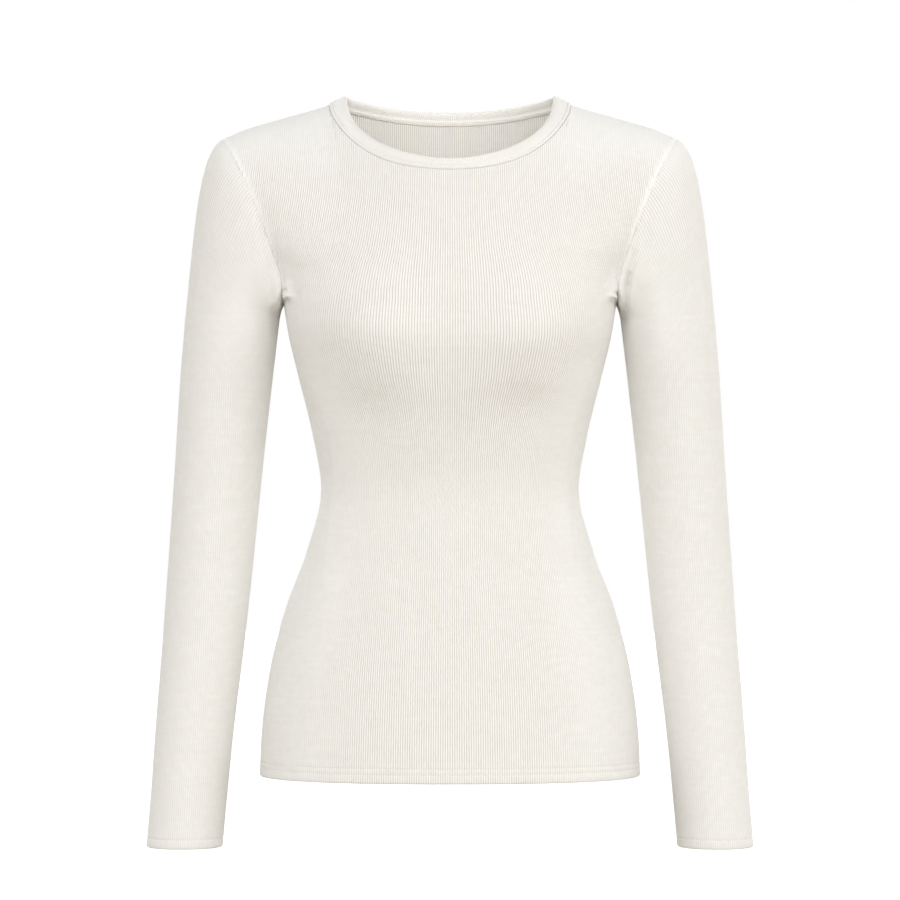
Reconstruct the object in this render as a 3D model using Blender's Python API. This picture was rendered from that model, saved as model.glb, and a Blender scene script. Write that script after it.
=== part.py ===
"""Long-sleeved rib top: front, back, two set-in sleeves and a folded neckband.

Sizes are in millimetres here and become metres when a mesh is made. X runs from the
wearer's right to the wearer's left, the front faces -Y, and Z is up from the level of
the two points where the shoulder seams meet the neck.
"""

import math

import bmesh
import bpy
import numpy as np

# ---- sizes, in millimetres ----
CLOTH = 1.4  # one layer of rib
TURNED = 2.9  # two layers, where an edge is turned up
SEAM_GAP = 0.3  # between the pieces at a seam
HALF_SHOULDER = 195.0  # from the middle to the end of a shoulder seam
TIP_Z = -37.0  # the end of a shoulder seam
UNDERARM_Z = -177.0
HEM_Z = -583.0
HEM_DEEP = 14.0  # height of the turned hem
CUFF_DEEP = 8.0  # height of a turned cuff
TAPE_WIDE = 4.0  # flat strip along the armhole, over the seam allowance
TAPE_HIGH = 0.5
NECK_HALF = 104.0  # half the width of the neck seam
NECK_FRONT = 88.0  # how far the neck seam comes forward
NECK_BACK = 70.0  # how far it goes back
FOLD_HALF = 88.6  # the same three for the fold of the band
FOLD_FRONT = 85.0
FOLD_BACK = 65.0
ROUND = 2.3  # how square a level section is: 2 is an ellipse
SHOULDER_ROUND = 1.45  # how the cloth turns over the shoulder
BUST_X = 70.0
BUST_WIDE = 37.0
BUST_RISE = 13.0
ARM_TOP_Z = -195.0  # first level ring of a sleeve

SIDES = 12  # steps round half an armhole
NECK_STEPS = 8  # steps round a quarter of the neck
SHOULDER_STEPS = 6  # steps along a shoulder seam

FRONT = -1
BACK = 1

# A row for each level of the body: its height, half width, and depth before and behind.
BODY = (
    dict(z=-583, half=163.5, front=110, back=116),  # hem
    dict(z=-545, half=161.5, front=110, back=118),
    dict(z=-495, half=155, front=109, back=114),  # hip
    dict(z=-440, half=141, front=105, back=101),
    dict(z=-390, half=122.5, front=98, back=85),
    dict(z=-338, half=110.5, front=93, back=75),  # waist
    dict(z=-290, half=118, front=99, back=82),
    dict(z=-245, half=129, front=111, back=93),  # under the bust
    dict(z=-205, half=138.5, front=118, back=99),  # bust
    dict(z=-177, half=143, front=118, back=101.5),  # underarm
    dict(z=-150, half=150, front=118, back=102),  # shoulder blades
    dict(z=0, half=150, front=118, back=102),
)
FULLEST = {FRONT: -205.0, BACK: -150.0}  # above this the depth falls away to the shoulder

# A row for each level of the armhole: where its seam is, and how far forward or back of
# the side it lies, as a share of the depth of the body at that point.
ARMHOLE = (
    dict(z=-177, x=143, front=0, back=0),  # underarm
    dict(z=-172, x=142.6, front=0.195, back=0.205),
    dict(z=-165, x=142.5, front=0.285, back=0.30),
    dict(z=-150, x=145.4, front=0.37, back=0.40),
    dict(z=-136, x=150.6, front=0.44, back=0.47),
    dict(z=-109, x=160.5, front=0.56, back=0.58),
    dict(z=-81, x=172, front=0.68, back=0.69),
    dict(z=-57, x=184, front=0.79, back=0.79),
    dict(z=-37, x=195, front=0.86, back=0.86),  # end of the shoulder
)

# The line that the cloth would rise to over the shoulder. Inside the neck seam it is cut off.
RIDGE = (
    dict(x=0, front=78, back=86),
    dict(x=20, front=71, back=81),
    dict(x=35, front=58, back=72),
    dict(x=58, front=33, back=51),
    dict(x=72, front=19, back=37),
    dict(x=88, front=4, back=18),
    dict(x=104, front=-7, back=-7),
    dict(x=146, front=-19.5, back=-19.5),
    dict(x=176, front=-28.4, back=-28.4),
    dict(x=195, front=-37, back=-37),
)

# How far the two rounded parts of the chest stand forward, as a share of the most.
BUST = (
    dict(z=-300, rise=0),
    dict(z=-268, rise=0.08),
    dict(z=-240, rise=0.72),
    dict(z=-212, rise=1.0),
    dict(z=-180, rise=0.72),
    dict(z=-140, rise=0.22),
    dict(z=-95, rise=0),
    dict(z=0, rise=0),
)

# A row for each ring of a sleeve: its inner and outer edge, its middle and its half depth.
ARM = (
    dict(z=-641.5, inner=193.7, outer=258.5, middle=-35, deep=31.5),  # cuff
    dict(z=-604, inner=190.6, outer=255.4, middle=-30, deep=32.5),
    dict(z=-544, inner=185, outer=251.6, middle=-23, deep=34.5),
    dict(z=-467, inner=175.9, outer=246, middle=-14, deep=37),
    dict(z=-390, inner=167.9, outer=240.8, middle=-7, deep=39.5),  # elbow
    dict(z=-312, inner=160.2, outer=235.8, middle=-3, deep=42),
    dict(z=-243, inner=152.6, outer=231.7, middle=-1, deep=44.5),
    dict(z=-195, inner=147, outer=227.8, middle=0, deep=46),
)

# How the cap of the sleeve leaves the seam and comes down to the first ring, by the angle
# round the armhole from the underarm: two lengths.
CAP = (
    dict(angle=0, leave=6, arrive=6),
    dict(angle=45, leave=18, arrive=18),
    dict(angle=90, leave=27, arrive=34),
    dict(angle=135, leave=26, arrive=58),
    dict(angle=180, leave=22, arrive=85),
)
CAP_TOP = np.array((0.92, 0, -0.39))  # the way the cap leaves the shoulder
CAP_UNDER = np.array((0.25, 0, -0.97))  # and the underarm
CAP_BULGE = 0.45  # how far it swells forward and back
SEAM_OUT = np.array((0.94, 0, -0.35))  # square to the armhole


def through(rows, key, name, at):
    """A smooth line through one column of a table, with no overshoot between the rows."""
    x = np.array([row[key] for row in rows], float)
    y = np.array([row[name] for row in rows], float)
    if x[0] > x[-1]:
        x, y = x[::-1], y[::-1]
    step = np.diff(x)
    slope = np.diff(y) / step
    both = slope[:-1] * slope[1:]
    total = np.where(both > 0, slope[:-1] + slope[1:], 1)
    lean = np.concatenate([slope[:1], np.where(both > 0, 2 * both / total, 0), slope[-1:]])
    at = np.clip(at, x[0], x[-1])
    i = np.clip(np.searchsorted(x, at, side="right") - 1, 0, len(step) - 1)
    t = (at - x[i]) / step[i]
    hold = y[i] * (1 + 2 * t) * (1 - t) ** 2 + y[i + 1] * t * t * (3 - 2 * t)
    turn = lean[i] * t * (1 - t) ** 2 - lean[i + 1] * t * t * (1 - t)
    return hold + turn * step[i]


def power(share, round_by):
    """The other side of a rounded corner: 1 at 0 and 0 at 1."""
    return (1 - np.clip(share, 0, 1) ** round_by) ** (1 / round_by)


def named(side):
    return "front" if side == FRONT else "back"


def edge_x(level, side):
    """Where the edge of a panel is: the side seam, and the armhole above it."""
    seam = through(BODY, "z", "half", level)
    return np.where(level < UNDERARM_Z, seam, through(ARMHOLE, "z", "x", level))


def edge_share(level, side):
    return np.where(level < UNDERARM_Z, 0, through(ARMHOLE, "z", named(side), level))


def virtual_half(z, side):
    """Half the width that a level section would have if it ran on to the side."""
    return edge_x(z, side) / power(edge_share(z, side), ROUND)


def top_z(t, side):
    """Height of the top edge: the neck seam, then the shoulder seam."""
    x = t * HALF_SHOULDER
    full = FULLEST[side]
    depth = through(BODY, "z", named(side), full)
    ridge = through(RIDGE, "x", named(side), x)
    wide = HALF_SHOULDER / power(edge_share(TIP_Z, side), ROUND)
    reach = NECK_FRONT if side == FRONT else NECK_BACK
    cut = reach * np.sqrt(1 - np.clip(x / NECK_HALF, 0, 1) ** 2)
    share = power(cut / (depth * power(x / wide, ROUND)), SHOULDER_ROUND)
    return np.where(x < NECK_HALF, full + (ridge - full) * share, ridge)


def panel(t, levels, side):
    """Outer face of half a panel.

    Each row is at one level of the edge, and t is the share of the way from the middle of
    the panel to that edge, measured along the cloth.
    """
    full = FULLEST[side]
    out = np.zeros(t.shape + (3,))
    for r, level in enumerate(levels):
        rise = max(0.0, (level - full) / (TIP_Z - full))
        end_x = float(edge_x(level, side))
        end_share = float(edge_share(level, side))
        wide = end_x / float(power(end_share, ROUND))
        depth = float(through(BODY, "z", named(side), level))
        shown = depth * float(power(rise, SHOULDER_ROUND))
        # equal steps along the section
        turn = np.linspace(0, math.asin(min(1.0, end_x / wide) ** (ROUND / 2)), 400)
        line_x = wide * np.sin(turn) ** (2 / ROUND)
        line_y = shown * np.cos(turn) ** (2 / ROUND)
        run = np.concatenate([[0], np.cumsum(np.hypot(np.diff(line_x), np.diff(line_y)))])
        angle = np.interp(t[r], run / run[-1], turn)
        x = wide * np.sin(angle) ** (2 / ROUND)
        z = level + 0 * x
        if rise > 0:
            z = full + (top_z(t[r], side) - full) * rise
        ridge = through(RIDGE, "x", named(side), x)
        fall = power((z - full) / (ridge - full), SHOULDER_ROUND)
        across = power(x / virtual_half(z, side), ROUND)
        y = depth * across * fall
        if side == FRONT:
            near = np.exp(-(((x - BUST_X) / BUST_WIDE) ** 2))
            y = y + BUST_RISE * near * through(BUST, "z", "rise", z) * across
        out[r] = np.stack([x, side * y, z], axis=-1)
    return out


def armhole_levels(side, steps):
    """Levels that cut the armhole seam into equal steps, from the underarm up."""
    levels = np.linspace(UNDERARM_Z, TIP_Z, 600)
    line = panel(np.ones((600, 1)), levels, side)[:, 0]
    run = np.concatenate([[0], np.cumsum(np.linalg.norm(np.diff(line, axis=0), axis=1))])
    return np.interp(np.linspace(0, run[-1], steps + 1), run, levels)


def normals(grid, ring=False):
    """Directions square to a grid of points, to the side that its rows and columns turn to."""
    along = np.gradient(grid, axis=0)
    if ring:
        across = np.roll(grid, -1, axis=1) - np.roll(grid, 1, axis=1)
    else:
        across = np.gradient(grid, axis=1)
    square = np.cross(across, along)
    return square / np.linalg.norm(square, axis=-1, keepdims=True)


def ivory_cloth(name, tone):
    mat = bpy.data.materials.new(name)
    mat.use_nodes = True
    shader = mat.node_tree.nodes["Principled BSDF"]
    shader.inputs["Base Color"].default_value = (*tone, 1)
    shader.inputs["Roughness"].default_value = 0.9
    return mat


def wall(name, outer, inner, ring, tone):
    """A closed wall between two grids of points, all round if it is a ring."""
    rows, cols = outer.shape[:2]
    count = rows * cols
    points = np.concatenate([outer.reshape(-1, 3), inner.reshape(-1, 3)]) / 1000
    faces = []
    for r in range(rows - 1):
        for c in range(cols if ring else cols - 1):
            d = (c + 1) % cols
            quad = (r * cols + c, r * cols + d, (r + 1) * cols + d, (r + 1) * cols + c)
            faces.append(quad)
            faces.append(tuple(i + count for i in reversed(quad)))
    for c in range(cols if ring else cols - 1):
        d = (c + 1) % cols
        last = count - cols
        faces.append((d, c, c + count, d + count))
        faces.append((last + c, last + d, last + d + count, last + c + count))
    if not ring:
        for r in range(rows - 1):
            low, high = r * cols, (r + 1) * cols
            faces.append((low, high, high + count, low + count))
            low, high = low + cols - 1, high + cols - 1
            faces.append((high, low, low + count, high + count))
    mesh = bpy.data.meshes.new(name)
    mesh.from_pydata([tuple(p) for p in points], [], faces)
    bm = bmesh.new()
    bm.from_mesh(mesh)
    bmesh.ops.recalc_face_normals(bm, faces=bm.faces[:])
    bmesh.ops.triangulate(bm, faces=bm.faces[:])
    bm.to_mesh(mesh)
    bm.free()
    mesh.materials.append(ivory_cloth(name + "_cloth", tone))
    obj = bpy.data.objects.new(name, mesh)
    bpy.context.scene.collection.objects.link(obj)
    return obj


def panel_columns(rise):
    """Shares across half a panel: even low down, and at the top set to the neck's curve."""
    neck = NECK_HALF / HALF_SHOULDER
    steps = NECK_STEPS + SHOULDER_STEPS + 1
    tape = 1 - TAPE_WIDE / 170
    even = np.append(np.linspace(0, tape, steps), 1)
    round_neck = neck * np.sin(np.linspace(0, math.pi / 2, NECK_STEPS + 1))
    shoulder = np.append(np.linspace(neck, tape, SHOULDER_STEPS + 1)[1:], 1)
    top = np.concatenate([round_neck, shoulder])
    return even + (top - even) * rise**1.5


def panel_grid(side):
    """Levels, outer points and the way out of the cloth, all over a panel."""
    hem = np.array((0, 0.8, HEM_DEEP, HEM_DEEP + 0.4, 36, 62, 90, 118, 146)) + HEM_Z
    waist = np.array((-412, -388, -364, -340, -316, -294, -272, -252, -234, -216, -197))
    levels = np.concatenate([hem, waist, armhole_levels(side, SIDES)])
    full = FULLEST[side]
    rise = np.clip((levels - full) / (TIP_Z - full), 0, 1)
    half = panel(np.array([panel_columns(r) for r in rise]), levels, side)
    outer = np.concatenate([half[:, :0:-1] * (-1, 1, 1), half], axis=1)
    return levels, outer, normals(outer) * (1 if side == FRONT else -1)


def make_panel(side):
    """Front or back: the wall of cloth, its turned hem and its tape along the armholes."""
    levels, outer, out = panel_grid(side)
    thick = np.full(outer.shape[:2], CLOTH)
    thick[:3] = TURNED
    inner = outer - out * thick[..., None]
    # the folded edge of the hem is rounded, outside and in
    outer[0] -= out[0] * 0.7
    inner[0] += out[0] * 0.7
    # the tape stands a little above the cloth
    taped = levels >= UNDERARM_Z
    for c in (0, 1, -2, -1):
        outer[taped, c] += out[taped, c] * TAPE_HIGH
    half_gap = SEAM_GAP / 2
    for face in (outer, inner):
        face[..., 1] = side * np.maximum(side * face[..., 1], half_gap)
    return wall(named(side), outer, inner, False, (0.80, 0.77, 0.70))


def armhole_ring():
    """Points of the left armhole seam, from the underarm over the front and back again."""
    front = panel(np.ones((SIDES + 1, 1)), armhole_levels(FRONT, SIDES), FRONT)[:, 0]
    back = panel(np.ones((SIDES + 1, 1)), armhole_levels(BACK, SIDES), BACK)[:, 0]
    return np.concatenate([front, back[-2:0:-1]])


def arm_ring(z, angle):
    """A level ring of the left sleeve; angle 0 faces the body and 90 the front."""
    inner = through(ARM, "z", "inner", z)
    outer = through(ARM, "z", "outer", z)
    middle = through(ARM, "z", "middle", z)
    deep = through(ARM, "z", "deep", z)
    half = (outer - inner) / 2
    x = (inner + outer) / 2 - half * np.cos(angle)
    y = middle - deep * np.sin(angle)
    return np.stack([x, y, z + 0 * x], axis=-1)


def cap(seam, angle, shares):
    """The cap of the left sleeve: rows from the seam down to the first level ring."""
    turned = np.degrees(angle)
    turned = np.minimum(turned, 360 - turned)
    leave = through(CAP, "angle", "leave", turned)[:, None]
    arrive = through(CAP, "angle", "arrive", turned)[:, None]
    up_share = ((1 - np.cos(angle)) / 2)[:, None]
    way = CAP_UNDER + (CAP_TOP - CAP_UNDER) * up_share
    way[:, 1] -= CAP_BULGE * np.sin(angle)
    way /= np.linalg.norm(way, axis=1, keepdims=True)
    ring = arm_ring(ARM_TOP_Z, angle)
    climb = np.array((-0.1, 0, 1.0))
    a, b = seam, seam + way * leave
    c, d = ring + climb * arrive, ring
    s = np.array(shares)[:, None, None]
    return a * (1 - s) ** 3 + 3 * b * s * (1 - s) ** 2 + 3 * c * s * s * (1 - s) + d * s**3


def make_sleeve(name, mirrored):
    angle = np.linspace(0, 2 * math.pi, 2 * SIDES, endpoint=False)
    seam = armhole_ring() + SEAM_OUT * (SEAM_GAP + 0.5)
    top = cap(seam, angle, (0, 0.06, 0.15, 0.28, 0.44, 0.62, 0.8, 1))
    cuff = ARM[0]["z"]
    heights = (-222, -250, -280, -312, -344, -376, -410, -444, -480, -516, -554, -592)
    ends = (cuff + CUFF_DEEP + 0.4, cuff + CUFF_DEEP, cuff + 0.8, cuff)
    rings = [arm_ring(z, angle) for z in heights + ends]
    outer = np.concatenate([top, np.array(rings)])
    out = -normals(outer, ring=True)
    thick = np.full(outer.shape[:2], CLOTH)
    thick[-3:] = TURNED
    inner = outer - out * thick[..., None]
    outer[-1] -= out[-1] * 0.7
    inner[-1] += out[-1] * 0.7
    if mirrored:
        outer, inner = outer * (-1, 1, 1), inner * (-1, 1, 1)
    return wall(name, outer, inner, True, (0.79, 0.76, 0.69))


def neck_line():
    """Points of the neck seam and the way out of the cloth at each, round from the front."""
    lines = []
    for side in (FRONT, BACK):
        levels, outer, out = panel_grid(side)
        middle = outer.shape[1] // 2
        neck = slice(middle, middle + NECK_STEPS + 1)
        lines.append((outer[-1, neck], out[-1, neck]))
    (front, front_out), (back, back_out) = lines
    points = np.concatenate([front[:-1], back[::-1]])
    out = np.concatenate([front_out[:-1], back_out[::-1]])
    points[NECK_STEPS, 1] = 0
    out[NECK_STEPS] = front_out[-1] + back_out[-1]
    mirror = np.array((-1, 1, 1))
    points = np.concatenate([points, points[-2:0:-1] * mirror])
    out = np.concatenate([out, out[-2:0:-1] * mirror])
    return points, out / np.linalg.norm(out, axis=1, keepdims=True)


def fold_line():
    """Points of the fold of the neckband, one for each point of the neck seam."""
    turn = np.linspace(0, math.pi, 2 * NECK_STEPS + 1)
    y = -np.cos(turn) * np.where(turn < math.pi / 2, FOLD_FRONT, FOLD_BACK)
    ahead = np.maximum(-y, 0)
    behind = np.maximum(y, 0)
    z = -0.74 * ahead + 0.0008 * ahead**2 - 0.0021 * behind**2
    half = np.stack([FOLD_HALF * np.sin(turn), y, z], axis=-1)
    return np.concatenate([half, half[-2:0:-1] * (-1, 1, 1)])


def make_neckband():
    """A strip folded double and sewn on by its two raw edges, so the fold is on top."""
    seam, seam_out = neck_line()
    fold = fold_line()
    up = fold - seam
    up /= np.linalg.norm(up, axis=1, keepdims=True)
    sideways = (np.abs(seam[:, :1]) / NECK_HALF) ** 4
    start = seam + up * (SEAM_GAP + 0.1 + 0.6 * sideways)
    # a row for each line round the band: share of the way up, and its two faces
    section = (
        dict(up=0, outer=0.5, inner=-1.9),
        dict(up=0.3, outer=0.9, inner=-2.0),
        dict(up=0.8, outer=0.8, inner=-1.8),
        dict(up=0.96, outer=0.3, inner=-1.3),
        dict(up=1.0, outer=-0.2, inner=-0.8),
    )
    around = np.roll(fold, -1, axis=0) - np.roll(fold, 1, axis=0)
    own = np.cross(around, up)
    own /= np.linalg.norm(own, axis=1, keepdims=True)
    outer = []
    inner = []
    for row in section:
        line = start + (fold - start) * row["up"]
        blend = min(1.0, row["up"] * 2)
        out = seam_out * (1 - blend) + own * blend
        out /= np.linalg.norm(out, axis=1, keepdims=True)
        outer.append(line + out * row["outer"])
        inner.append(line + out * row["inner"])
    return wall("neckband", np.array(outer), np.array(inner), True, (0.82, 0.79, 0.72))


def main():
    for obj in list(bpy.data.objects):
        bpy.data.objects.remove(obj, do_unlink=True)
    make_panel(FRONT)
    make_panel(BACK)
    make_sleeve("sleeve_left", False)
    make_sleeve("sleeve_right", True)
    make_neckband()


main()
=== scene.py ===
# %% [markdown]
# # A thermal base layer top in fine rib
#
# The top is a close-fitting, long-sleeved, ivory underlayer. A maker cuts five pieces for
# it: a front, a back, two set-in sleeves and a strip for the neck, all in one knitted rib.
# The frame that is loaded here holds plain walls of cloth in the right size and place.
# These cells dress each wall as real cloth: its ribs, its turned hems, the creases under
# the arm, the sewing and the soft heathered colour.
#
# Sizes are in millimetres, as on a paper pattern, and turn into metres only when a mesh
# is made.

import math

import bmesh
import bpy
import numpy as np
from mathutils import Matrix, Vector


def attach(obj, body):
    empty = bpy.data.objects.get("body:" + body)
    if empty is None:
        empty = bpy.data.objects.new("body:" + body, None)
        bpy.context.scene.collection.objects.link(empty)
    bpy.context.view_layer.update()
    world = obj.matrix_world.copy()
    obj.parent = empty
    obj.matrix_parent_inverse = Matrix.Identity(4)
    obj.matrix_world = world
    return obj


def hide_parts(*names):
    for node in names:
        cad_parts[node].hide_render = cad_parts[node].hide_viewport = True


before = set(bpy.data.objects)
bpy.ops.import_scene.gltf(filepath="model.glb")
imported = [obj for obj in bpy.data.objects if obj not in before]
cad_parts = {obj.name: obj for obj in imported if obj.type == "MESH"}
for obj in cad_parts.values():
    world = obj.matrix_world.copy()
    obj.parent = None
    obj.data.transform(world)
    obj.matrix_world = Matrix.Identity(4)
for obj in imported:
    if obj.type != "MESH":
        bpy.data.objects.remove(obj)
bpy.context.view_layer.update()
print("pieces in the frame:", sorted(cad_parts))

# %% [markdown]
# ## Tables
#
# The sizes of a garment are easiest to read and to change as a table, with a row for each
# height or place and a name over each column. Each row becomes a Python dictionary. The
# names are given once, at the top of the table, because they would hide the numbers if
# every row repeated them.

# %% Tables with named columns


def table(names, *rows):
    """Rows of numbers as dictionaries, with the names of the columns given once."""
    names = names.split()
    return [dict(zip(names, row)) for row in rows]


print("one row of a table:", table("z half", (-338, 110.5))[0])

# %% [markdown]
# ## The sizes of the top
#
# A knitted top has few straight lines, so its shape is kept as a handful of level
# sections: how wide and how deep the cloth stands at the hem, waist, bust and so on. A
# smooth line is drawn through each column of these tables. This is how a dress stand is
# described, and it is easier to adjust than thousands of points.

# %% Sizes of the body
CLOTH = 1.4  # one layer of rib
TURNED = 2.9  # two layers, where an edge is turned up
TOUCH = 0.05  # between the dressed pieces, where the thread pulls them together
HALF_SHOULDER = 195.0
TIP_Z = -37.0  # the end of a shoulder seam
UNDERARM_Z = -177.0
HEM_Z = -583.0
HEM_DEEP = 14.0
CUFF_DEEP = 8.0
ROUND = 2.3  # how square a level section is: 2 is an ellipse
SQUARER = 0.3  # how much squarer it is just below the arms
SHOULDER_ROUND = 1.45
FRONT, BACK = -1, 1
FULLEST = {FRONT: -205.0, BACK: -150.0}  # above this the depth falls away to the shoulder

BODY = table(
    "z half front back",
    (-583, 163.5, 110, 116),  # hem
    (-545, 161.5, 110, 118),
    (-495, 155, 109, 114),  # hip
    (-440, 141, 105, 101),
    (-390, 122.5, 98, 85),
    (-338, 110.5, 93, 75),  # waist
    (-290, 118, 99, 82),
    (-245, 129, 111, 93),  # under the bust
    (-205, 138.5, 118, 99),  # bust
    (-177, 143, 118, 101.5),  # underarm
    (-150, 150, 118, 102),  # shoulder blades
    (0, 150, 118, 102),
)
print("length from shoulder to hem:", -HEM_Z, "mm")

# %% [markdown]
# ## The armholes
#
# An armhole is a curved seam. It starts at the side, below the arm, and runs forward and
# back as it climbs to the shoulder. The columns `front` and `back` say what share of the
# body's depth it has reached at each height. Beside its lowest part the sewing draws the
# cloth up, so a second table makes it stand out a little more there. A table does this
# better than sculpting, because the sleeve can follow the same numbers.

# %% The armhole
TAPE_WIDE = 4.0  # flat strip along the armhole, over the seam allowance
TAPE_HIGH = 0.42
PULLED_WIDE = 7.0  # how far from the seam the pull is felt
ARMHOLE = table(
    "z x front back",
    (-177, 143, 0, 0),
    (-173, 142.6, 0.15, 0.12),
    (-165, 142.5, 0.3, 0.26),
    (-150, 145.4, 0.43, 0.39),
    (-136, 150.6, 0.51, 0.48),
    (-109, 160.5, 0.60, 0.58),
    (-81, 172, 0.70, 0.69),
    (-57, 184, 0.79, 0.79),
    (-37, 195, 0.86, 0.86),
)
# How far the cloth beside the seam stands forward on the front, and back on the back.
PULLED = table(
    "z mm",
    (-177, 0),
    (-176.4, 12),
    (-175.5, 19),
    (-174, 20),
    (-170, 16),
    (-165, 12),
    (-155, 5),
    (-140, 0),
    (0, 0),
)
print("armhole from %d to %d mm" % (ARMHOLE[0]["z"], ARMHOLE[-1]["z"]))

# %% [markdown]
# ## Neck and shoulders
#
# The neck seam drops from the shoulders to the front, and only a little to the back. The
# top of the form is kept as it would be with no neck cut out of it, and the neck seam is
# cut through it afterwards, just as a maker cuts the neckline out of a closed pattern.

# %% Neck seam and shoulder line
NECK_HALF = 104.0  # half the width of the neck seam
# Height of the neck seam, by the share of the way forward or back from the shoulder.
NECK_SEAM = table(
    "share front back",
    (0, -7, -7),
    (0.15, -14.2, -7.7),
    (0.3, -21.6, -8.9),
    (0.5, -34.4, -10.9),
    (0.66, -45.9, -13.0),
    (0.82, -57.7, -16.0),
    (0.92, -64.2, -18.4),
    (1.0, -68.6, -20.3),
)
# The top of the form if no neck were cut out of it.
RIDGE = table(
    "x front back",
    (-15, 74.2, 83),
    (0, 78.3, 85.6),
    (15, 74.2, 83),
    (30, 62.8, 74.8),
    (50, 41.6, 57.8),
    (70, 20.4, 36.6),
    (80, 10.8, 24),
    (88, 3.6, 12.4),
    (96, -2.4, 0.8),
    (100, -4.9, -3.8),
    (104, -7, -7),
    (110, -9.3, -9.5),
    (120, -12.2, -12.3),
    (146, -19.5, -19.5),
    (176, -28.4, -28.4),
    (195, -37, -37),
)
print("the neckline drops %.1f mm in front" % -NECK_SEAM[-1]["front"])

# %% [markdown]
# ## The bust
#
# Two soft rises stand out of the front, so the ribs spread over them. Each is a bell
# across the front, and this table says how full it is at each height. Adding a bell to a
# plain section is simpler than bending the section itself, and it leaves the sides alone.

# %% Fullness of the bust
BUST_X, BUST_WIDE, BUST_RISE = 70.0, 37.0, 13.0  # place, width and height of each rise
BUST = table(
    "z rise",
    (-300, 0),
    (-268, 0.08),
    (-240, 0.72),
    (-212, 1.0),
    (-180, 0.72),
    (-140, 0.22),
    (-95, 0),
    (0, 0),
)
print("the bust stands out by up to", BUST_RISE, "mm")

# %% [markdown]
# ## The sizes of a sleeve
#
# A sleeve is described like the body, by level sections, but it leans outwards and a
# little forward as it goes down, so each row gives its inner and outer side, the middle
# line and half its depth. The cap, which joins it to the armhole, is described by how long
# the cloth keeps its first direction, and how long its last one, at each turn round the
# arm. These are the two handles of a curve, as in Blender's own curve tool.

# %% Sizes of the sleeves
ARM_TOP_Z = -195.0  # the highest level section, where the cap starts
ARM = table(
    "z inner outer middle deep",
    (-641.5, 193.7, 258.5, -35, 31.5),  # cuff
    (-604, 190.6, 255.4, -30, 32.5),
    (-544, 185, 251.6, -23, 34.5),
    (-467, 175.9, 246, -14, 37),
    (-390, 167.9, 240.8, -7, 39.5),  # elbow
    (-312, 160.2, 235.8, -3, 42),
    (-243, 152.6, 231.7, -1, 44.5),
    (-195, 147, 227.8, 0, 46),
)
CAP = table(
    "angle leave arrive",
    (0, 6, 6),
    (45, 18, 18),
    (90, 24, 30),
    (135, 26, 58),
    (180, 22, 85),
)
CAP_TOP = np.array((0.92, 0, -0.39))  # the way the cap leaves the shoulder
CAP_UNDER = np.array((0.25, 0, -0.97))  # and the underarm
CAP_BULGE = 0.34  # how far it swells forward and back
SEAM_OUT = np.array((0.94, 0, -0.35))  # square to the armhole
print("sleeve, from the end of the shoulder:", TIP_Z - ARM[0]["z"], "mm")

# %% [markdown]
# ## Ribs
#
# Rib knit is a row of small ridges that run up the cloth. Each ridge is about 2 mm wide,
# wider where the cloth is stretched over the bust and narrower at the waist. Ribs don't
# follow a curved edge: the pattern is cut through them, so they end at an armhole or at a
# side seam. This table says how many ribs lie between the middle of a panel and its edge
# at each level, and how wide they are in the middle and over the bust. What is left of
# the width is shared out towards the side.

# %% How the ribs lie
RIB_DEEP = 0.6  # from groove to crest, in the middle of a panel
SIDE_DEEP = 0.32  # the same on the sleeves and towards a side seam
FADE_FROM, FADE_TO = 42, 70  # rib numbers between which the ribs sink in
FULL_FROM, FULL_TO = 312, 352  # rows of stitches between which they stand up again
CAP_FULL_FROM, CAP_FULL_TO = 345, 400  # the same on a sleeve
CAP_DEEPER = 0.6  # how much of the way back to a full rib they get there
FLAT_SHOULDER = 0.75  # how much of a rib is lost where the cloth lies over the shoulder
FLAT_UNDERARM = 0.65  # the same where the sewing pulls a sleeve below the arm
MOST_RIBS = 114  # from the middle of a panel to its edge, at the widest level
FRONT_RIBS = table(
    "z count middle bust",
    (-583, 111, 2.0, 1.98),
    (-545, 110, 1.98, 1.96),
    (-495, 108, 1.93, 1.90),
    (-440, 104, 1.84, 1.76),
    (-390, 99, 1.73, 1.69),
    (-338, 95, 1.69, 1.64),
    (-303, 94, 1.76, 1.70),
    (-268, 93, 1.94, 1.93),
    (-240, 93, 2.12, 2.34),
    (-205, 93, 2.2, 2.58),
    (-177, 94, 2.16, 2.46),
    (-165, 73, 2.13, 2.38),
    (-150, 74, 2.08, 2.25),
    (-136, 78, 2.0, 2.1),
    (-109, 85, 1.91, 1.93),
    (-81, 93, 1.86, 1.83),
    (-57, 101, 1.85, 1.8),
    (-37, 108, 1.85, 1.79),
)
BACK_RIBS = table(
    "z count middle bust",
    (-583, 113, 2.0, 2.0),
    (-545, 113, 2.0, 2.0),
    (-495, 110, 1.98, 1.98),
    (-440, 104, 1.88, 1.88),
    (-390, 96, 1.76, 1.76),
    (-338, 92, 1.65, 1.64),
    (-290, 93, 1.74, 1.74),
    (-245, 96, 1.87, 1.87),
    (-205, 99, 1.94, 1.94),
    (-177, 101, 1.95, 1.95),
    (-165, 86, 1.94, 1.94),
    (-150, 84, 1.93, 1.93),
    (-136, 85, 1.92, 1.92),
    (-109, 89, 1.88, 1.88),
    (-81, 94, 1.86, 1.84),
    (-57, 101, 1.85, 1.81),
    (-37, 108, 1.85, 1.79),
)
RIBS = {FRONT: FRONT_RIBS, BACK: BACK_RIBS}
SIDE_PITCH = {FRONT: 1.89, BACK: 1.99}  # width of the ribs that the armpit cuts off
SLEEVE_RIBS = table(
    "z count",
    (-641.5, 54),
    (-467, 60),
    (-312, 66),
    (-195, 71),
    (0, 71),
)
BAND_RIBS = 296  # all round the neck
COURSE = 1.4  # height of one row of knit stitches
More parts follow.
